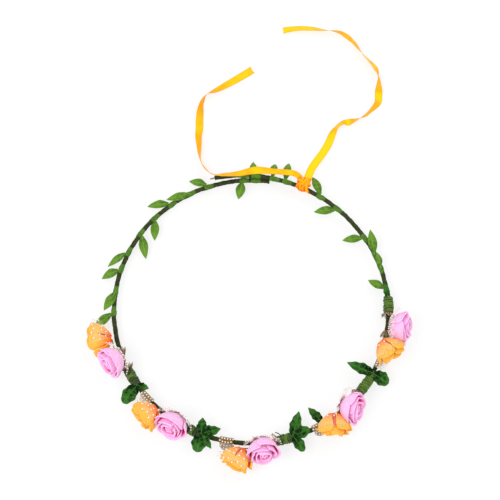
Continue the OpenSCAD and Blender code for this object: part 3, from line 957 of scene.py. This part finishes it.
class CROWN_OT_stage(CrownMaker, bpy.types.Operator):
    """Sets the floor, the light and the camera"""

    bl_idname = "crown.stage"
    bl_label = "Stage"

    def execute(self, context):
        scene = context.scene
        scene.view_settings.view_transform = "Standard"
        self.floor()
        self.sky()
        for name, place, size, power in LAMPS:
            lamp = bpy.data.lights.new(name, "AREA")
            lamp.size = size
            lamp.energy = power
            self.aimed(lamp, place, (0, 0, 0))
        camera = bpy.data.cameras.new("photo_camera")
        camera.lens = CAMERA_LENS
        camera.sensor_width = SENSOR
        scene.camera = self.aimed(camera, CAMERA_PLACE, CAMERA_AIM)
        return {"FINISHED"}

    def floor(self):
        """A pale floor at the height that the crown rests on."""
        floor = added("floor", bpy.ops.mesh.primitive_plane_add, size=6, location=(0, 0, TABLE_Z))
        bpy.ops.object.transform_apply(location=True, rotation=False, scale=False)
        with editing(floor):
            bpy.ops.mesh.subdivide(number_cuts=3)
        made = Finish("pale_floor")
        grain = made.noise(60.0, 2.0)
        floor.data.materials.append(made.surface({
            "Base Color": made.mix(grain, (0.97, 0.97, 0.97), (0.99, 0.99, 0.99)),
            "Roughness": 0.9,
            "Specular IOR Level": 0.1,
        }))
        made.whitened("ShaderNodeEmission", FLOOR_WHITE)

    def sky(self):
        """An even white surround."""
        made = Finish("studio", "worlds", "Background")
        bpy.context.scene.world = made.surface({"Color": (1, 1, 1), "Strength": SURROUND})
        made.whitened("ShaderNodeBackground", 1.0)

    def aimed(self, data, place, aim):
        """A lamp or camera that faces a point."""
        thing = bpy.data.objects.new(data.name, data)
        thing.location = place
        thing.rotation_euler = (Vector(aim) - thing.location).to_track_quat("-Z", "Y").to_euler()
        bpy.context.scene.collection.objects.link(thing)
        return thing


class CROWN_OT_ribbon_tails(CrownMaker, bpy.types.Operator):
    """Lays the two free ribbon tails along their routes"""

    bl_idname = "crown.ribbon_tails"
    bl_label = "Ribbon tails"

    # Points from one place of a route to the next, and the least height of the ribbon's middle
    steps = 8
    lowest = TABLE_Z + 0.15 * MM
    # Painted shade of each tail where it lies flat
    shades = {"left": 0.24, "right": -0.06}

    def execute(self, context):
        satin = satin_finish("satin", self.colours.satin, self.colours.satin_fold_shade)
        for name, route in (("left", TAIL_LEFT), ("right", TAIL_RIGHT)):
            self.tail(name, route, satin)
        return {"FINISHED"}

    def smooth(self, route):
        """Points along the route, on the same smooth curve as the solid's."""
        spots = np.array(route, float)
        spots[:, :3] *= MM
        spots[:, 2] += TABLE_Z
        last = len(spots) - 1
        path = []
        for k in range(last):
            a, b, c, d = (spots[max(0, min(last, k + step))] for step in (-1, 0, 1, 2))
            for t in np.arange(self.steps) / self.steps:
                path.append(0.5 * (2 * b + (c - a) * t + (2 * a - 5 * b + 4 * c - d) * t ** 2
                                   + (3 * b - a - 3 * c + d) * t ** 3))
        return np.array(path + [spots[last]])

    def tail(self, name, route, satin):
        """One flat ribbon; the left end is notched and the right one cut at a slant."""
        path = self.smooth(route)
        centre = path[:, :3]
        count = len(path) - 1
        ribbon, u, v = sheet_start(f"ribbon_tail_{name}_satin", 8, count)
        row = np.rint(v * count).astype(int)
        ahead = unit(np.gradient(centre, axis=0))
        side = unit(np.cross(ahead, (0, 0, 1)))
        up = np.cross(side, ahead)
        roll = np.radians(path[:, 3])[:, None]
        wide = np.cos(roll) * side + np.sin(roll) * up
        high = np.cos(roll) * up - np.sin(roll) * side
        run = lengths(centre)
        half = self.sizes.ribbon_width / 2
        cup = 0.12 * MM * (1 - u ** 2) * np.sin(run[row] * 140)
        cut = -2.6 * (1 - np.abs(u)) if name == "left" else -1.7 * (1 + u)
        notch = np.where(row == count, cut * MM, 0)
        points = centre[row] + wide[row] * (u * half)[:, None] + high[row] * cup[:, None]
        points = points + ahead[row] * notch[:, None]
        points[:, 2] = np.maximum(points[:, 2], self.lowest)
        set_points(ribbon, points)
        # Painted shade where the ribbon tilts on edge and where it twists fast, plus each tail's own painted
        # shade
        turn = np.abs(np.gradient(np.unwrap(np.radians(path[:, 3]))) / np.gradient(run))
        steep = np.abs(wide[:, 2])
        fold = 0.6 * steep[row] + 0.003 * turn[row] + self.shades[name]
        carry(ribbon, across=u * half, fold=np.clip(fold, 0, 1))
        thickened(ribbon, self.sizes.ribbon_thickness)
        modified(ribbon, "BEVEL", width=0.06 * MM, segments=2, limit_method="ANGLE")
        settled(ribbon, "crown", "satin", satin, f"ribbon_tail_{name}")


class CROWN_OT_ribbon_knot(CrownMaker, bpy.types.Operator):
    """Ties the satin knot round the vine"""

    bl_idname = "crown.ribbon_knot"
    bl_label = "Ribbon knot"

    # Bands round the vine: turn about it, tilt across it, radius, half width, swell
    bands = [(0, 0, 2.5, 3.8, 0.3), (35, 22, 2.9, 2.8, 0.35)]

    def execute(self, context):
        satin = satin_finish("satin_knot", self.colours.knot, self.colours.knot_fold_shade)
        spot = Matrix.Rotation(math.radians(KNOT_TURN), 4, "Z") @ Matrix.Translation((OUTER_RADIUS, 0, 0))
        parts = [self.band(*row) for row in self.bands]
        parts += [self.lump(), self.patch(), self.tie()]
        knot = joined("ribbon_knot_satin", parts)
        set_points(knot, moved(points_of(knot), outer_arc(self.sizes.ring_radius) @ spot))
        settled(knot, "crown", "satin_knot", satin, "ribbon_knot")
        return {"FINISHED"}

    def crumpled(self, piece, x, y, z, across, fold, thickness, closed=False):
        """Shapes a sheet of ribbon in millimetres, colours it, closes a band's seam and thickens it."""
        set_points(piece, np.stack([x, y, z], 1) * MM)
        # The fold number mixes in the knot's painted shade colour
        carry(piece, across=across * MM, fold=np.clip(fold, 0, 1))
        if closed:
            with editing(piece):
                bpy.ops.mesh.remove_doubles(threshold=0.02 * MM)
        thickened(piece, thickness * MM)
        rounded(piece)
        return piece

    def band(self, turn, tilt, radius, half, swell):
        """One crumpled turn of ribbon about the vine, which runs along Y."""
        band, u, v = sheet_start("band", 10, 48)
        angle = math.pi * (2 * v - 1)
        crease = 0.16 * np.sin(7 * u + 2 * angle + turn) + 0.12 * np.sin(4 * angle + 3 * u)
        r = radius + swell * (1 - u ** 2) + crease + 0.5 * np.cos(angle - math.radians(turn))
        narrow = 0.8 + 0.2 * np.cos(angle + 0.7)
        y = half * u * narrow + math.tan(math.radians(tilt)) * r * np.sin(angle - math.radians(turn))
        # Painted shade in the creases
        fold = 0.5 - 1.9 * crease
        return self.crumpled(band, r * np.cos(angle), y, r * np.sin(angle), u * half, fold, 0.3, True)

    def lump(self):
        """The tied lump on the outer side, drawn in by its crossing folds."""
        lump = added("lump", bpy.ops.mesh.primitive_uv_sphere_add, segments=40, ring_count=24, radius=1)
        ball = points_of(lump)
        angle = np.arctan2(ball[:, 1], ball[:, 0])
        # Painted shade in the folds that draw the lump in
        fold = 0.5 + 0.5 * np.sin(6 * angle + 5 * ball[:, 2])
        size = 1 - 0.16 * fold
        local = ball * size[:, None] * np.array([3.9, 4.0, 3.2]) + np.array([2.7, 0, 0.8])
        set_points(lump, local * MM)
        carry(lump, across=ball[:, 1] * 2 * MM, fold=fold)
        return lump

    def drape(self, x, y):
        """Height of the ribbon over the vine and the lump, and of its creases."""
        turn = np.arctan2(y + 0.5, x - 3.6)
        reach = np.hypot(x - 3.6, y + 0.5)
        crease = np.minimum(0.1 * reach, 0.42) * np.sin(8 * turn + 0.4 * reach)
        crease = crease + 0.1 * np.sin(2.4 * x + 1.5 * y)
        bed = 2.1 - 0.45 * np.minimum(x, 0) ** 2 + 2.8 * bell(x - 3.6, 2.9) * bell(y, 5.0)
        return bed + crease, crease

    def patch(self):
        """The crumpled ribbon over the vine, between the feet of the two tails."""
        patch, u, v = sheet_start("patch", 30, 26)
        x = (-2.1 + 0.2 * u) * (1 - v) + (7.6 - 0.8 * u) * v
        y = (-0.7 + 5.9 * u) * (1 - v) + (0.9 + 4.0 * u) * v
        y -= 2.4 * np.clip(-u - 0.6, 0, 1) * np.sin(13 * v + 1.4) + 0.5 * u * np.sin(2.2 * math.pi * v)
        z, crease = self.drape(x, y)
        # Painted shade in the creases; the colour also deepens towards the patch's edges
        edge = ramp(0.7, 1.0, np.maximum(np.abs(u), 1 - 1.6 * v))
        return self.crumpled(patch, x, y, z, u * 3, 0.12 - 1.2 * crease + 0.6 * edge, 0.3)

    def tie(self):
        """The strap of ribbon that is drawn over the middle of the knot."""
        strap, u, v = sheet_start("strap", 10, 24)
        wide = 1.5 + 0.9 * np.abs(2 * v - 1) ** 1.5
        x = -1.4 + 8.6 * v
        y = 1.8 - 3.4 * v + u * wide
        wave = np.sin(5 * u + 3 * v)
        z = self.drape(x, y)[0] + 0.55 * (1 - u ** 2) * np.sin(math.pi * v) + 0.12 * wave + 0.1
        # Painted shade towards the strap's sides, where it curves down, and along its waves
        return self.crumpled(strap, x, y, z, u * wide, np.abs(u) ** 2 * 0.9 + 0.2 * wave, 0.28)


class CROWN_OT_vine(CrownMaker, bpy.types.Operator):
    """Winds the tape round the vine and along its overlapping ends"""

    bl_idname = "crown.vine"
    bl_label = "Vine"

    sides = 24
    ring_step = 0.8 * MM
    # Turn of the ring from the inner end to the start of the overlap, and of the outer end
    ring_sweep = math.radians(360 - INNER_END + OVERLAP_START)
    outer_sweep = math.radians(OUTER_SPAN)
    # Radians before a start at which a point still counts as past it
    slack = 0.01

    def execute(self, context):
        sizes = self.sizes
        tape = tape_finish(self.colours)
        lift = outer_arc(sizes.ring_radius)
        vine, ring_points = self.spun(lift)
        points = points_of(vine)
        centre, run, around = self.along(points, ring_points, lift)
        phase = run / sizes.tape_pitch + around / (2 * math.pi)
        lap = phase - np.floor(phase)
        lumps = 0.07 * MM * np.sin(run * 900 + 2 * np.sin(around))
        lumps = lumps + 0.05 * MM * np.sin(run * 2100 + 3 * around)
        lumps = lumps + 0.12 * MM * np.sin(run * 260 + 1.5 * np.sin(run * 97) + around)
        tab, swell = self.tabs(points)
        girth = sizes.vine_radius * 0.97 + sizes.tape_step * (lap - 0.4) + lumps + swell * 0.35 * MM
        set_points(vine, centre + unit(points - centre) * girth[:, None])
        carry(vine, lap=lap, tab=tab)
        outward(vine)
        settled(vine, "crown", "vine_tape", tape, "vine_tape")
        painted(NODES["core_wire"], wire_finish("steel_wire", (0.30, 0.29, 0.27), 1.0))
        return {"FINISHED"}

    def spun(self, lift):
        """A tube spun about the ring, then about the arc of its outer end; a spin turns against its axis."""
        start = math.radians(INNER_END)
        radius = self.sizes.ring_radius
        vine = added(
            "vine_wrap", bpy.ops.mesh.primitive_circle_add,
            vertices=self.sides, radius=self.sizes.vine_radius, fill_type="NGON",
            location=(radius * math.cos(start), radius * math.sin(start), 0),
            rotation=(math.pi / 2, 0, start),
        )
        bpy.ops.object.transform_apply(location=True, rotation=True, scale=False)
        steps = round(radius * self.ring_sweep / self.ring_step)
        with editing(vine):
            bpy.ops.mesh.spin(steps=steps, angle=self.ring_sweep, center=(0, 0, 0), axis=(0, 0, -1))
        ring_points = len(vine.data.vertices)
        steps = round(OUTER_RADIUS * self.outer_sweep / self.ring_step)
        axis = lift.to_3x3() @ Vector((0, 0, -1))
        bpy.ops.object.mode_set(mode="EDIT")
        bpy.ops.mesh.spin(steps=steps, angle=self.outer_sweep, center=lift.translation, axis=axis)
        bpy.ops.object.mode_set(mode="OBJECT")
        return vine, ring_points

    def along(self, points, ring_points, lift):
        """For each point: the vine's centre beside it, the way along the vine and the turn about it."""
        ring_radius = self.sizes.ring_radius
        arcs = (
            (points[:ring_points], ring_radius, math.radians(INNER_END)),
            (moved(points, lift.inverted())[ring_points:], OUTER_RADIUS, 0),
        )
        centres, runs, arounds = [], [], []
        for spots, radius, start in arcs:
            angle = np.arctan2(spots[:, 1], spots[:, 0])
            centres.append(polar(radius, angle, 0 * angle))
            runs.append(((angle - start + self.slack) % (2 * math.pi)) * radius)
            arounds.append(np.arctan2(spots[:, 2], reaches(spots) - radius))
        centres[1] = moved(centres[1], lift)
        runs[1] += ring_radius * self.ring_sweep
        return [np.concatenate(pair) for pair in (centres, runs, arounds)]

    def tabs(self, points):
        """Where the green tape of a leaf's foot shows, and how much it swells the vine."""
        angle = np.degrees(np.arctan2(points[:, 1], points[:, 0]))
        tab = np.zeros(len(points))
        swell = np.zeros(len(points))
        for name in SMALL_LEAVES:
            root = small_blade(name)["root"]
            foot = math.degrees(math.atan2(root[1], root[0]))
            behind = (foot - angle + 180) % 360 - 180
            tab = np.maximum(tab, ramp(-1.6, -0.6, behind) * (1 - ramp(1.8, 4.2, behind)))
            swell = np.maximum(swell, bell(behind - 0.6, 1.6))
        return tab, swell


class CROWN_OT_small_leaves(CrownMaker, bpy.types.Operator):
    """Grows the small cloth leaves along the vine"""

    bl_idname = "crown.small_leaves"
    bl_label = "Small leaves"

    def execute(self, context):
        cloth = leaf_finish("leaf_cloth", self.colours.leaf, self.colours.leaf_shade, (0.4, 0.95), 0.18)
        pattern = leaf_pattern("small_leaf_pattern", 8, 14, small_outline)
        for number, node in enumerate(SMALL_LEAVES):
            blade = small_blade(node)
            leaf = grown(pattern, f"{node}_cloth", blade, self.sizes.cloth, 0.18 * MM, 0.09, number)
            stem = stalk(blade, 0.5 * MM, 1.6 * MM, 0.4)
            settled(joined(f"{node}_cloth", [leaf, stem]), "crown", "leaf_cloth", cloth, node)
        dropped(pattern)
        return {"FINISHED"}


class CROWN_OT_large_leaves(CrownMaker, bpy.types.Operator):
    """Grows the large dark leaves at the bindings"""

    bl_idname = "crown.large_leaves"
    bl_label = "Large leaves"

    # Length to width from which a leaf is pointed, as are those that point into the ring
    long_leaf = 1.9
    inward = -0.3

    def execute(self, context):
        colours = self.colours
        cloth = leaf_finish("dark_leaf_cloth", colours.dark_leaf, colours.dark_leaf_shade, (0.55, 0.95), 0.05)
        pointed = leaf_pattern("large_leaf_pattern", 10, 18, large_outline)
        blunt = leaf_pattern("blunt_leaf_pattern", 10, 18, blunt_outline)
        for spray in SPRAYS:
            out = unit(JOINTS[spray]["pos_m"][:2])
            parts = []
            for number, blade in enumerate(large_blades(spray)):
                long = blade["length"] > self.long_leaf * blade["width"]
                pattern = pointed if long or blade["heading"] @ out < self.inward else blunt
                seed = 40 + number
                parts.append(grown(pattern, "large_leaf", blade, self.sizes.cloth, 0.35 * MM, 0.1, seed))
                parts.append(stalk(blade, 0.45 * MM, 0.8 * MM, 0.6))
            settled(joined(f"{spray}_leaves_cloth", parts), spray, "dark_leaf", cloth, f"{spray}_leaves")
        dropped(pointed)
        dropped(blunt)
        return {"FINISHED"}


class CROWN_OT_roses(CrownMaker, bpy.types.Operator):
    """Makes the pink and the orange foam roses"""

    bl_idname = "crown.roses"
    bl_label = "Roses"

    lowest = TABLE_Z + 0.2 * MM

    def execute(self, context):
        sizes = self.sizes
        colours = self.colours
        # Each kind: rows, rim colour and painted fold shade, seed, how far the painted shade climbs the outer
        # petals' backs, spread
        kinds = (
            ("pink", PINK_ROWS, colours.pink, colours.pink_fold_shade, 5, 0.45, sizes.pink_spread),
            ("orange", ORANGE_ROWS, colours.orange, colours.orange_fold_shade, 9, 0.75, sizes.orange_spread),
        )
        for kind, rows, pale, fold_shade, seed, shade_reach, spread in kinds:
            finish = foam_finish(f"{kind}_foam", pale, fold_shade)
            pattern = rose_pattern(f"{kind}_rose_pattern", rows, sizes.foam, seed, shade_reach, spread)
            for number, spray in enumerate(SPRAYS):
                head = head_at(spray, kind, sizes.lean)
                turn = np.array(Matrix.Rotation(math.radians(67 * number + 15), 3, "Z"))
                rose = copied(pattern, f"{spray}_{kind}_rose_foam")
                points = cleared(placed(points_of(rose) @ turn.T, *head.values()), spray)
                points[:, 2] = np.maximum(points[:, 2], self.lowest)
                set_points(rose, points)
                settled(rose, spray, f"{kind}_foam", finish, f"{spray}_{kind}_rose")
            dropped(pattern)
        return {"FINISHED"}


class CROWN_OT_gauze(CrownMaker, bpy.types.Operator):
    """Gathers the dotted gauze behind the roses"""

    bl_idname = "crown.gauze"
    bl_label = "Gauze"

    foot_radius = 1.7 * MM
    folds = 12
    columns = 72
    rows = 12
    net_thickness = 0.08 * MM
    # Frills round the vine: share of the way to the rose, reach along the vine and radii in millimetres
    collars = {"pink": (0, (4.6, 8.2), (2.5, 5.1)), "orange": (0.62, (-2.2, 2.4), (2.7, 4.2))}
    # How far the free end of the orange rose's net is spread out, in the sprays where it shows
    wing_tones = {"spray_2": 0.15, "spray_3": -0.3, "spray_4": 0.0, "spray_5": 0.25}
    # Sprays whose orange rose has dots at its foot only
    plain = ("spray_4", "spray_5")
    # Dots on the free end of an orange rose's net: share along it and across it
    wing_dots = np.array([(0.4 * k - 0.95 + 0.2 * (row % 2), 0.14 + 0.24 * row)
                          for row in range(4) for k in range(5)])

    def execute(self, context):
        colours = self.colours
        pitch = self.sizes.net_pitch
        self.nets = {
            "pink": net_finish("brown_net", colours.net, colours.dot, pitch, 0.22),
            "orange": net_finish("clear_net", colours.veil, colours.dot, pitch, 0.05),
        }
        self.flock = flock_finish(colours)
        for spray in SPRAYS:
            hub = JOINTS[spray]["pos_m"]
            self.start = math.atan2(hub[1], hub[0])
            self.level = hub[2]
            heads = {rose: head_at(spray, rose, self.sizes.lean) for rose in ("pink", "orange")}
            for cloud in islands(f"{spray}_gauze"):
                rose = min(heads, key=lambda name: np.linalg.norm(cloud - heads[name]["foot"], axis=1).min())
                self.fan(spray, rose, heads[rose], cloud)
        return {"FINISHED"}

    def fan(self, spray, rose, head, cloud):
        """One ruffle and its dots, over the sector and the cup of the CAD fan."""
        local = (cloud - head["foot"]) @ np.stack([head["x"], head["y"], head["z"]], 1)
        reach = reaches(local)
        rim = local[reach > 0.7 * reach.max()]
        sector = np.unwrap(np.sort(np.arctan2(rim[:, 1], rim[:, 0]) % (2 * math.pi)))
        cup = (local[:, 2].max() - local[:, 2].min()) / MM - 1.6
        spread = self.sizes.orange_spread if rose == "orange" else self.sizes.pink_spread
        shape = (sector[0], sector[-1], cup * spread, self.sizes.gauze_reach * spread)
        piece, u, f = sheet_start(f"{spray}_{rose}_gauze_net", self.columns, self.rows)
        u = (u + 1) / 2
        ragged = 1 + 0.05 * np.sin(u * 31 + 2) * f + 0.04 * np.sin(u * 71) * f ** 3
        spots = placed(self.surface(shape, u, f * ragged), *head.values())
        set_points(piece, cleared(spots, spray))
        carry(piece, across=f * shape[3], along=u * (shape[1] - shape[0]) * 0.75 * shape[3],
              spread=f if rose == "pink" else 0.4 + 0.6 * f)
        middle = head["foot"] + HEAD_MIDDLE * head["z"]
        turn = wrapped(math.atan2(middle[1], middle[0]) - self.start)
        parts = [piece, self.collar(turn, *self.collars[rose])]
        wing_spots = np.zeros((0, 3))
        if rose == "orange" and spray in self.wing_tones:
            parts.append(self.wing(spray, turn))
            wing_spots = self.wing_spots(spray, turn, *self.wing_dots.T)
        net = joined(piece.name, parts)
        thickened(net, self.net_thickness)
        settled(net, spray, "gauze", self.nets[rose], f"{spray}_gauze")
        self.dots(spray, rose, head, shape, wing_spots)

    def surface(self, shape, u, f):
        """Points of the ruffle in the head's frame: a cup with folds that grow towards the rim."""
        first, last, cup, reach = shape
        angle = first + (last - first) * u
        r = self.foot_radius + (reach - self.foot_radius) * f
        z = -0.95 + cup * f ** 2 + 0.9 * f * np.sin(self.folds * angle) + 0.25 * f * np.sin(29 * angle)
        return polar(r, angle, z * MM)

    def round_vine(self, turn, side, up):
        """Points beside the vine, by the turn from the binding, and millimetres outwards and up."""
        return polar(self.sizes.ring_radius + side * MM, self.start + turn, self.level + up * MM)

    def turned(self, turn, run):
        """The turn about the ring of so many millimetres along the vine, away from the binding."""
        return math.copysign(1, turn) * run * MM / self.sizes.ring_radius

    def collar(self, turn, share, run, radii):
        """A gathered frill of net about the vine, on the way from the binding to a rose."""
        piece, u, f = sheet_start("collar", 64, 8)
        angle = math.pi * (u + 1)
        r = radii[0] + (radii[1] - radii[0]) * f * (1 + 0.25 * np.sin(7 * angle + 1))
        r = r + 0.5 * f * np.sin(17 * angle)
        y = run[0] + (run[1] - run[0]) * f + 0.7 * f * np.sin(9 * angle)
        turns = share * turn + self.turned(turn, y)
        set_points(piece, self.round_vine(turns, r * np.cos(angle), r * np.sin(angle)))
        carry(piece, across=f * 5 * MM, along=angle * 4 * MM, spread=0.35 * f)
        return piece

    def wing_spots(self, spray, turn, u, f):
        """Points of the net's free end, which lies over the vine beyond an orange rose."""
        run = 9 + 5 * u + 0.8 * np.sin(5 * f)
        side = -2.4 + 9.5 * f * (1 - 0.25 * u ** 2)
        up = 2.6 - 2.6 * np.clip(f - 0.3, 0, 1) + 0.7 * np.sin(7 * u + 2 * f) * (0.3 + 0.7 * f)
        return cleared(self.round_vine(turn + self.turned(turn, run), side, up), spray, True)

    def wing(self, spray, turn):
        """The free end of the net beyond an orange rose."""
        piece, u, f = sheet_start("wing", 30, 18)
        set_points(piece, self.wing_spots(spray, turn, u, f))
        carry(piece, across=f * 9.5 * MM, along=u * 6 * MM, spread=self.wing_tones[spray] + 0.25 * f)
        return piece

    def dots(self, spray, rose, head, shape, extra):
        """Flock dots in staggered rows over the ruffle, and at the extra spots."""
        scale = self.sizes.veil_dot if rose == "orange" else 1
        pattern = added("dot_pattern", bpy.ops.mesh.primitive_ico_sphere_add, subdivisions=2,
                        radius=self.sizes.dot_radius * scale)
        first, last, _, reach = shape
        pitch = self.sizes.dot_pitch * scale
        places = []
        radial = int((reach - self.foot_radius) / pitch)
        rings = 1 if rose == "orange" and spray in self.plain else radial
        for ring in range(1, rings + 1):
            f = (ring + 0.1) / (radial + 0.25)
            count = max(2, round((last - first) * f * reach / pitch))
            for k in range(count):
                places.append(((k + 0.25 + 0.5 * (ring % 2)) / (count + 0.25), f))
        spots = placed(self.surface(shape, *np.array(places).T), *head.values())
        copies = []
        for spot in np.concatenate([cleared(spots, spray), extra]):
            copy = copied(pattern, "dot")
            set_points(copy, points_of(copy) + spot)
            copies.append(copy)
        dropped(pattern)
        settled(joined(f"{spray}_{rose}_gauze_dots", copies), spray, "gauze", self.flock)


class CROWN_OT_bindings(CrownMaker, bpy.types.Operator):
    """Winds the sleeves and the binding cords of the sprays"""

    bl_idname = "crown.bindings"
    bl_label = "Bindings"

    # Crossing strands over each coil: tilt across the vine, turn about it, place along it
    crossings = [(36, 20, -1.5), (-38, 75, 0.5), (30, 130, 2.5)]
    # How light the cord of each binding is
    light = (0.25, 0.2, 0.45, 0.8, 0.75)
    sides = 12
    coil_start = -5.4 * MM
    # How far beside the vine the root of a leaf at the binding's end can be, and how far the coil passes it
    leaf_beside = 3 * MM
    leaf_beyond = 1.5 * MM
    sleeve_half = 6.0 * MM

    def execute(self, context):
        cord = cord_finish(self.colours)
        tape = bpy.data.materials["waxed_tape"]
        green = wire_finish("green_wire", toned(self.colours.tab, 0.8), 0.0)
        for number, spray in enumerate(SPRAYS):
            hub = np.array(JOINTS[spray]["pos_m"])
            tangent = -np.array(JOINTS[spray]["axis"])
            out = unit((hub[0], hub[1], 0))
            self.axes = (hub, out, tangent, (0, 0, 1))
            roots = [blade["root"] - hub[:2] for blade in large_blades(spray)]
            end = min(float(root @ tangent[:2]) for root in roots if abs(root @ out[:2]) < self.leaf_beside)
            parts = [self.coil(number, end + self.leaf_beyond)]
            parts += [self.crossing(*row) for row in self.crossings]
            parts.append(self.twig(number))
            settled(joined(f"{spray}_binding_cord", parts), spray, "binding_cord", cord, f"{spray}_binding")
            settled(self.sleeve(spray), spray, "vine_tape", tape, f"{spray}_sleeve")
            painted(NODES[f"{spray}_stems"], green)
        return {"FINISHED"}

    def swept(self, name, centres, wide, thin, light, closed=False):
        """A flat cord along centres about the Y axis, with a dense oval section."""
        count = len(centres) - 1
        cord, u, v = sheet_start(name, self.sides, count)
        row = np.rint(v * count).astype(int)
        turn = math.pi * u
        ahead = np.gradient(centres, axis=0)
        if closed:
            ahead[0] = ahead[-1] = centres[1] - centres[-2]
        ahead = unit(ahead)
        out = centres * np.array([1, 0, 1])
        out = unit(out - (out * ahead).sum(1)[:, None] * ahead)
        side = np.cross(ahead, out)
        section = side[row] * (wide * np.cos(turn))[:, None] + out[row] * (thin * np.sin(turn))[:, None]
        set_points(cord, placed(centres[row] + section, *self.axes))
        carry(cord, along=lengths(centres)[row], across=u * PLY_PITCH, light=light)
        with editing(cord):
            bpy.ops.mesh.remove_doubles(threshold=0.004 * MM)
            bpy.ops.mesh.select_all(action="DESELECT")
            bpy.ops.mesh.select_non_manifold()
            bpy.ops.mesh.edge_face_add()
        outward(cord)
        return cord

    def girth(self, angle, y):
        """Radius of the winding: over the sleeve, and over the wires on its upper outer side."""
        turn = wrapped(angle - math.radians(62))
        base = self.sizes.coil_radius - 0.5 * MM * ramp(6 * MM, 11 * MM, y)
        return base + 0.75 * MM * bell(turn, math.radians(52))

    def coil(self, number, end):
        """The wound cord: an uneven helix from the gauze to the foot of the leaves."""
        reach = end - self.coil_start
        turns = round(reach / (2.05 * self.sizes.cord_radius))
        angle = np.linspace(0, 2 * math.pi * turns, 28 * turns + 1) + number
        share = np.linspace(0, 1, len(angle))
        y = self.coil_start + reach * share + 0.22 * MM * np.sin(1.7 * angle)
        radius = self.girth(angle, y) + 0.1 * MM * np.sin(3.1 * angle + number)
        radius *= 1 - 0.12 * ramp(0.9, 1.0, np.abs(2 * share - 1))
        width = self.sizes.cord_radius
        return self.swept("coil", wound(radius, angle, y), width, 0.46 * MM, self.light[number])

    def crossing(self, tilt, turn, place):
        """A strand that crosses the coil at a slant and is drawn tight."""
        angle = np.linspace(0, 2 * math.pi, 61)
        slope = math.tan(math.radians(tilt)) * self.sizes.coil_radius
        y = slope * np.sin(angle - math.radians(turn)) + place * MM
        radius = self.girth(angle, y) + 0.34 * MM + 0.08 * MM * np.sin(3 * angle)
        width = 0.75 * self.sizes.cord_radius
        return self.swept("crossing", wound(radius, angle, y), width, 0.36 * MM, 1.0, True)

    def twig(self, number):
        """The cut end of the cord that sticks out of the binding."""
        t = np.linspace(0, 1, 13)
        lean = math.radians(115 + 14 * (number % 3))
        centres = wound(3.6 + 3.2 * t, lean, -2.4 - 2.6 * t + 0.5 * np.sin(4 * t)) * MM
        return self.swept("twig", centres, 0.5 * MM, 0.34 * MM, 0.6)

    def sleeve(self, spray):
        """The sleeve of tape under a binding, tapered at its ends, with its laps."""
        low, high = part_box(f"{spray}_sleeve")
        radius = (high.z - low.z) / 2
        sleeve = added(f"{spray}_sleeve_tape", bpy.ops.mesh.primitive_cylinder_add, vertices=32,
                       radius=radius, depth=2 * self.sleeve_half, end_fill_type="NOTHING")
        with editing(sleeve):
            bpy.ops.mesh.subdivide(number_cuts=23)
        x, y, run = points_of(sleeve).T
        angle = np.arctan2(y, x)
        phase = run / (3.0 * MM) + angle / (2 * math.pi)
        lap = phase - np.floor(phase)
        taper = 1 - 0.1 * (np.abs(run) / self.sleeve_half) ** 3
        girth = radius * taper + 0.12 * MM * (lap - 0.5)
        set_points(sleeve, placed(wound(girth, angle, run), *self.axes))
        carry(sleeve, lap=lap, tab=0.2)
        thickened(sleeve, 0.25 * MM, -1.0)
        return sleeve


class CROWN_PT_pieces(bpy.types.Panel):
    """The crown's pieces and sizes in the sidebar"""

    bl_label = "Flower Crown"
    bl_idname = "CROWN_PT_pieces"
    bl_space_type = "VIEW_3D"
    bl_region_type = "UI"
    bl_category = "Crown"

    def draw(self, context):
        layout = self.layout
        for operator in OPERATORS:
            layout.operator(operator.bl_idname)
        for group in (context.scene.crown_sizes, context.scene.crown_colours):
            box = layout.box()
            for name in group.__annotations__:
                box.prop(group, name)


OPERATORS = (
    CROWN_OT_stage,
    CROWN_OT_ribbon_tails,
    CROWN_OT_ribbon_knot,
    CROWN_OT_vine,
    CROWN_OT_small_leaves,
    CROWN_OT_large_leaves,
    CROWN_OT_roses,
    CROWN_OT_gauze,
    CROWN_OT_bindings,
)
CLASSES = (CrownSizes, CrownColours, *OPERATORS, CROWN_PT_pieces)


def register():
    for item in CLASSES:
        bpy.utils.register_class(item)
    bpy.types.Scene.crown_sizes = PointerProperty(type=CrownSizes)
    bpy.types.Scene.crown_colours = PointerProperty(type=CrownColours)


def unregister():
    del bpy.types.Scene.crown_colours
    del bpy.types.Scene.crown_sizes
    for item in reversed(CLASSES):
        bpy.utils.unregister_class(item)


def main():
    """Makes every piece in order."""
    register()
    bpy.ops.crown.stage()
    bpy.ops.crown.ribbon_tails()
    bpy.ops.crown.ribbon_knot()
    bpy.ops.crown.vine()
    bpy.ops.crown.small_leaves()
    bpy.ops.crown.large_leaves()
    bpy.ops.crown.roses()
    bpy.ops.crown.gauze()
    bpy.ops.crown.bindings()


if __name__ == "__main__":
    main()
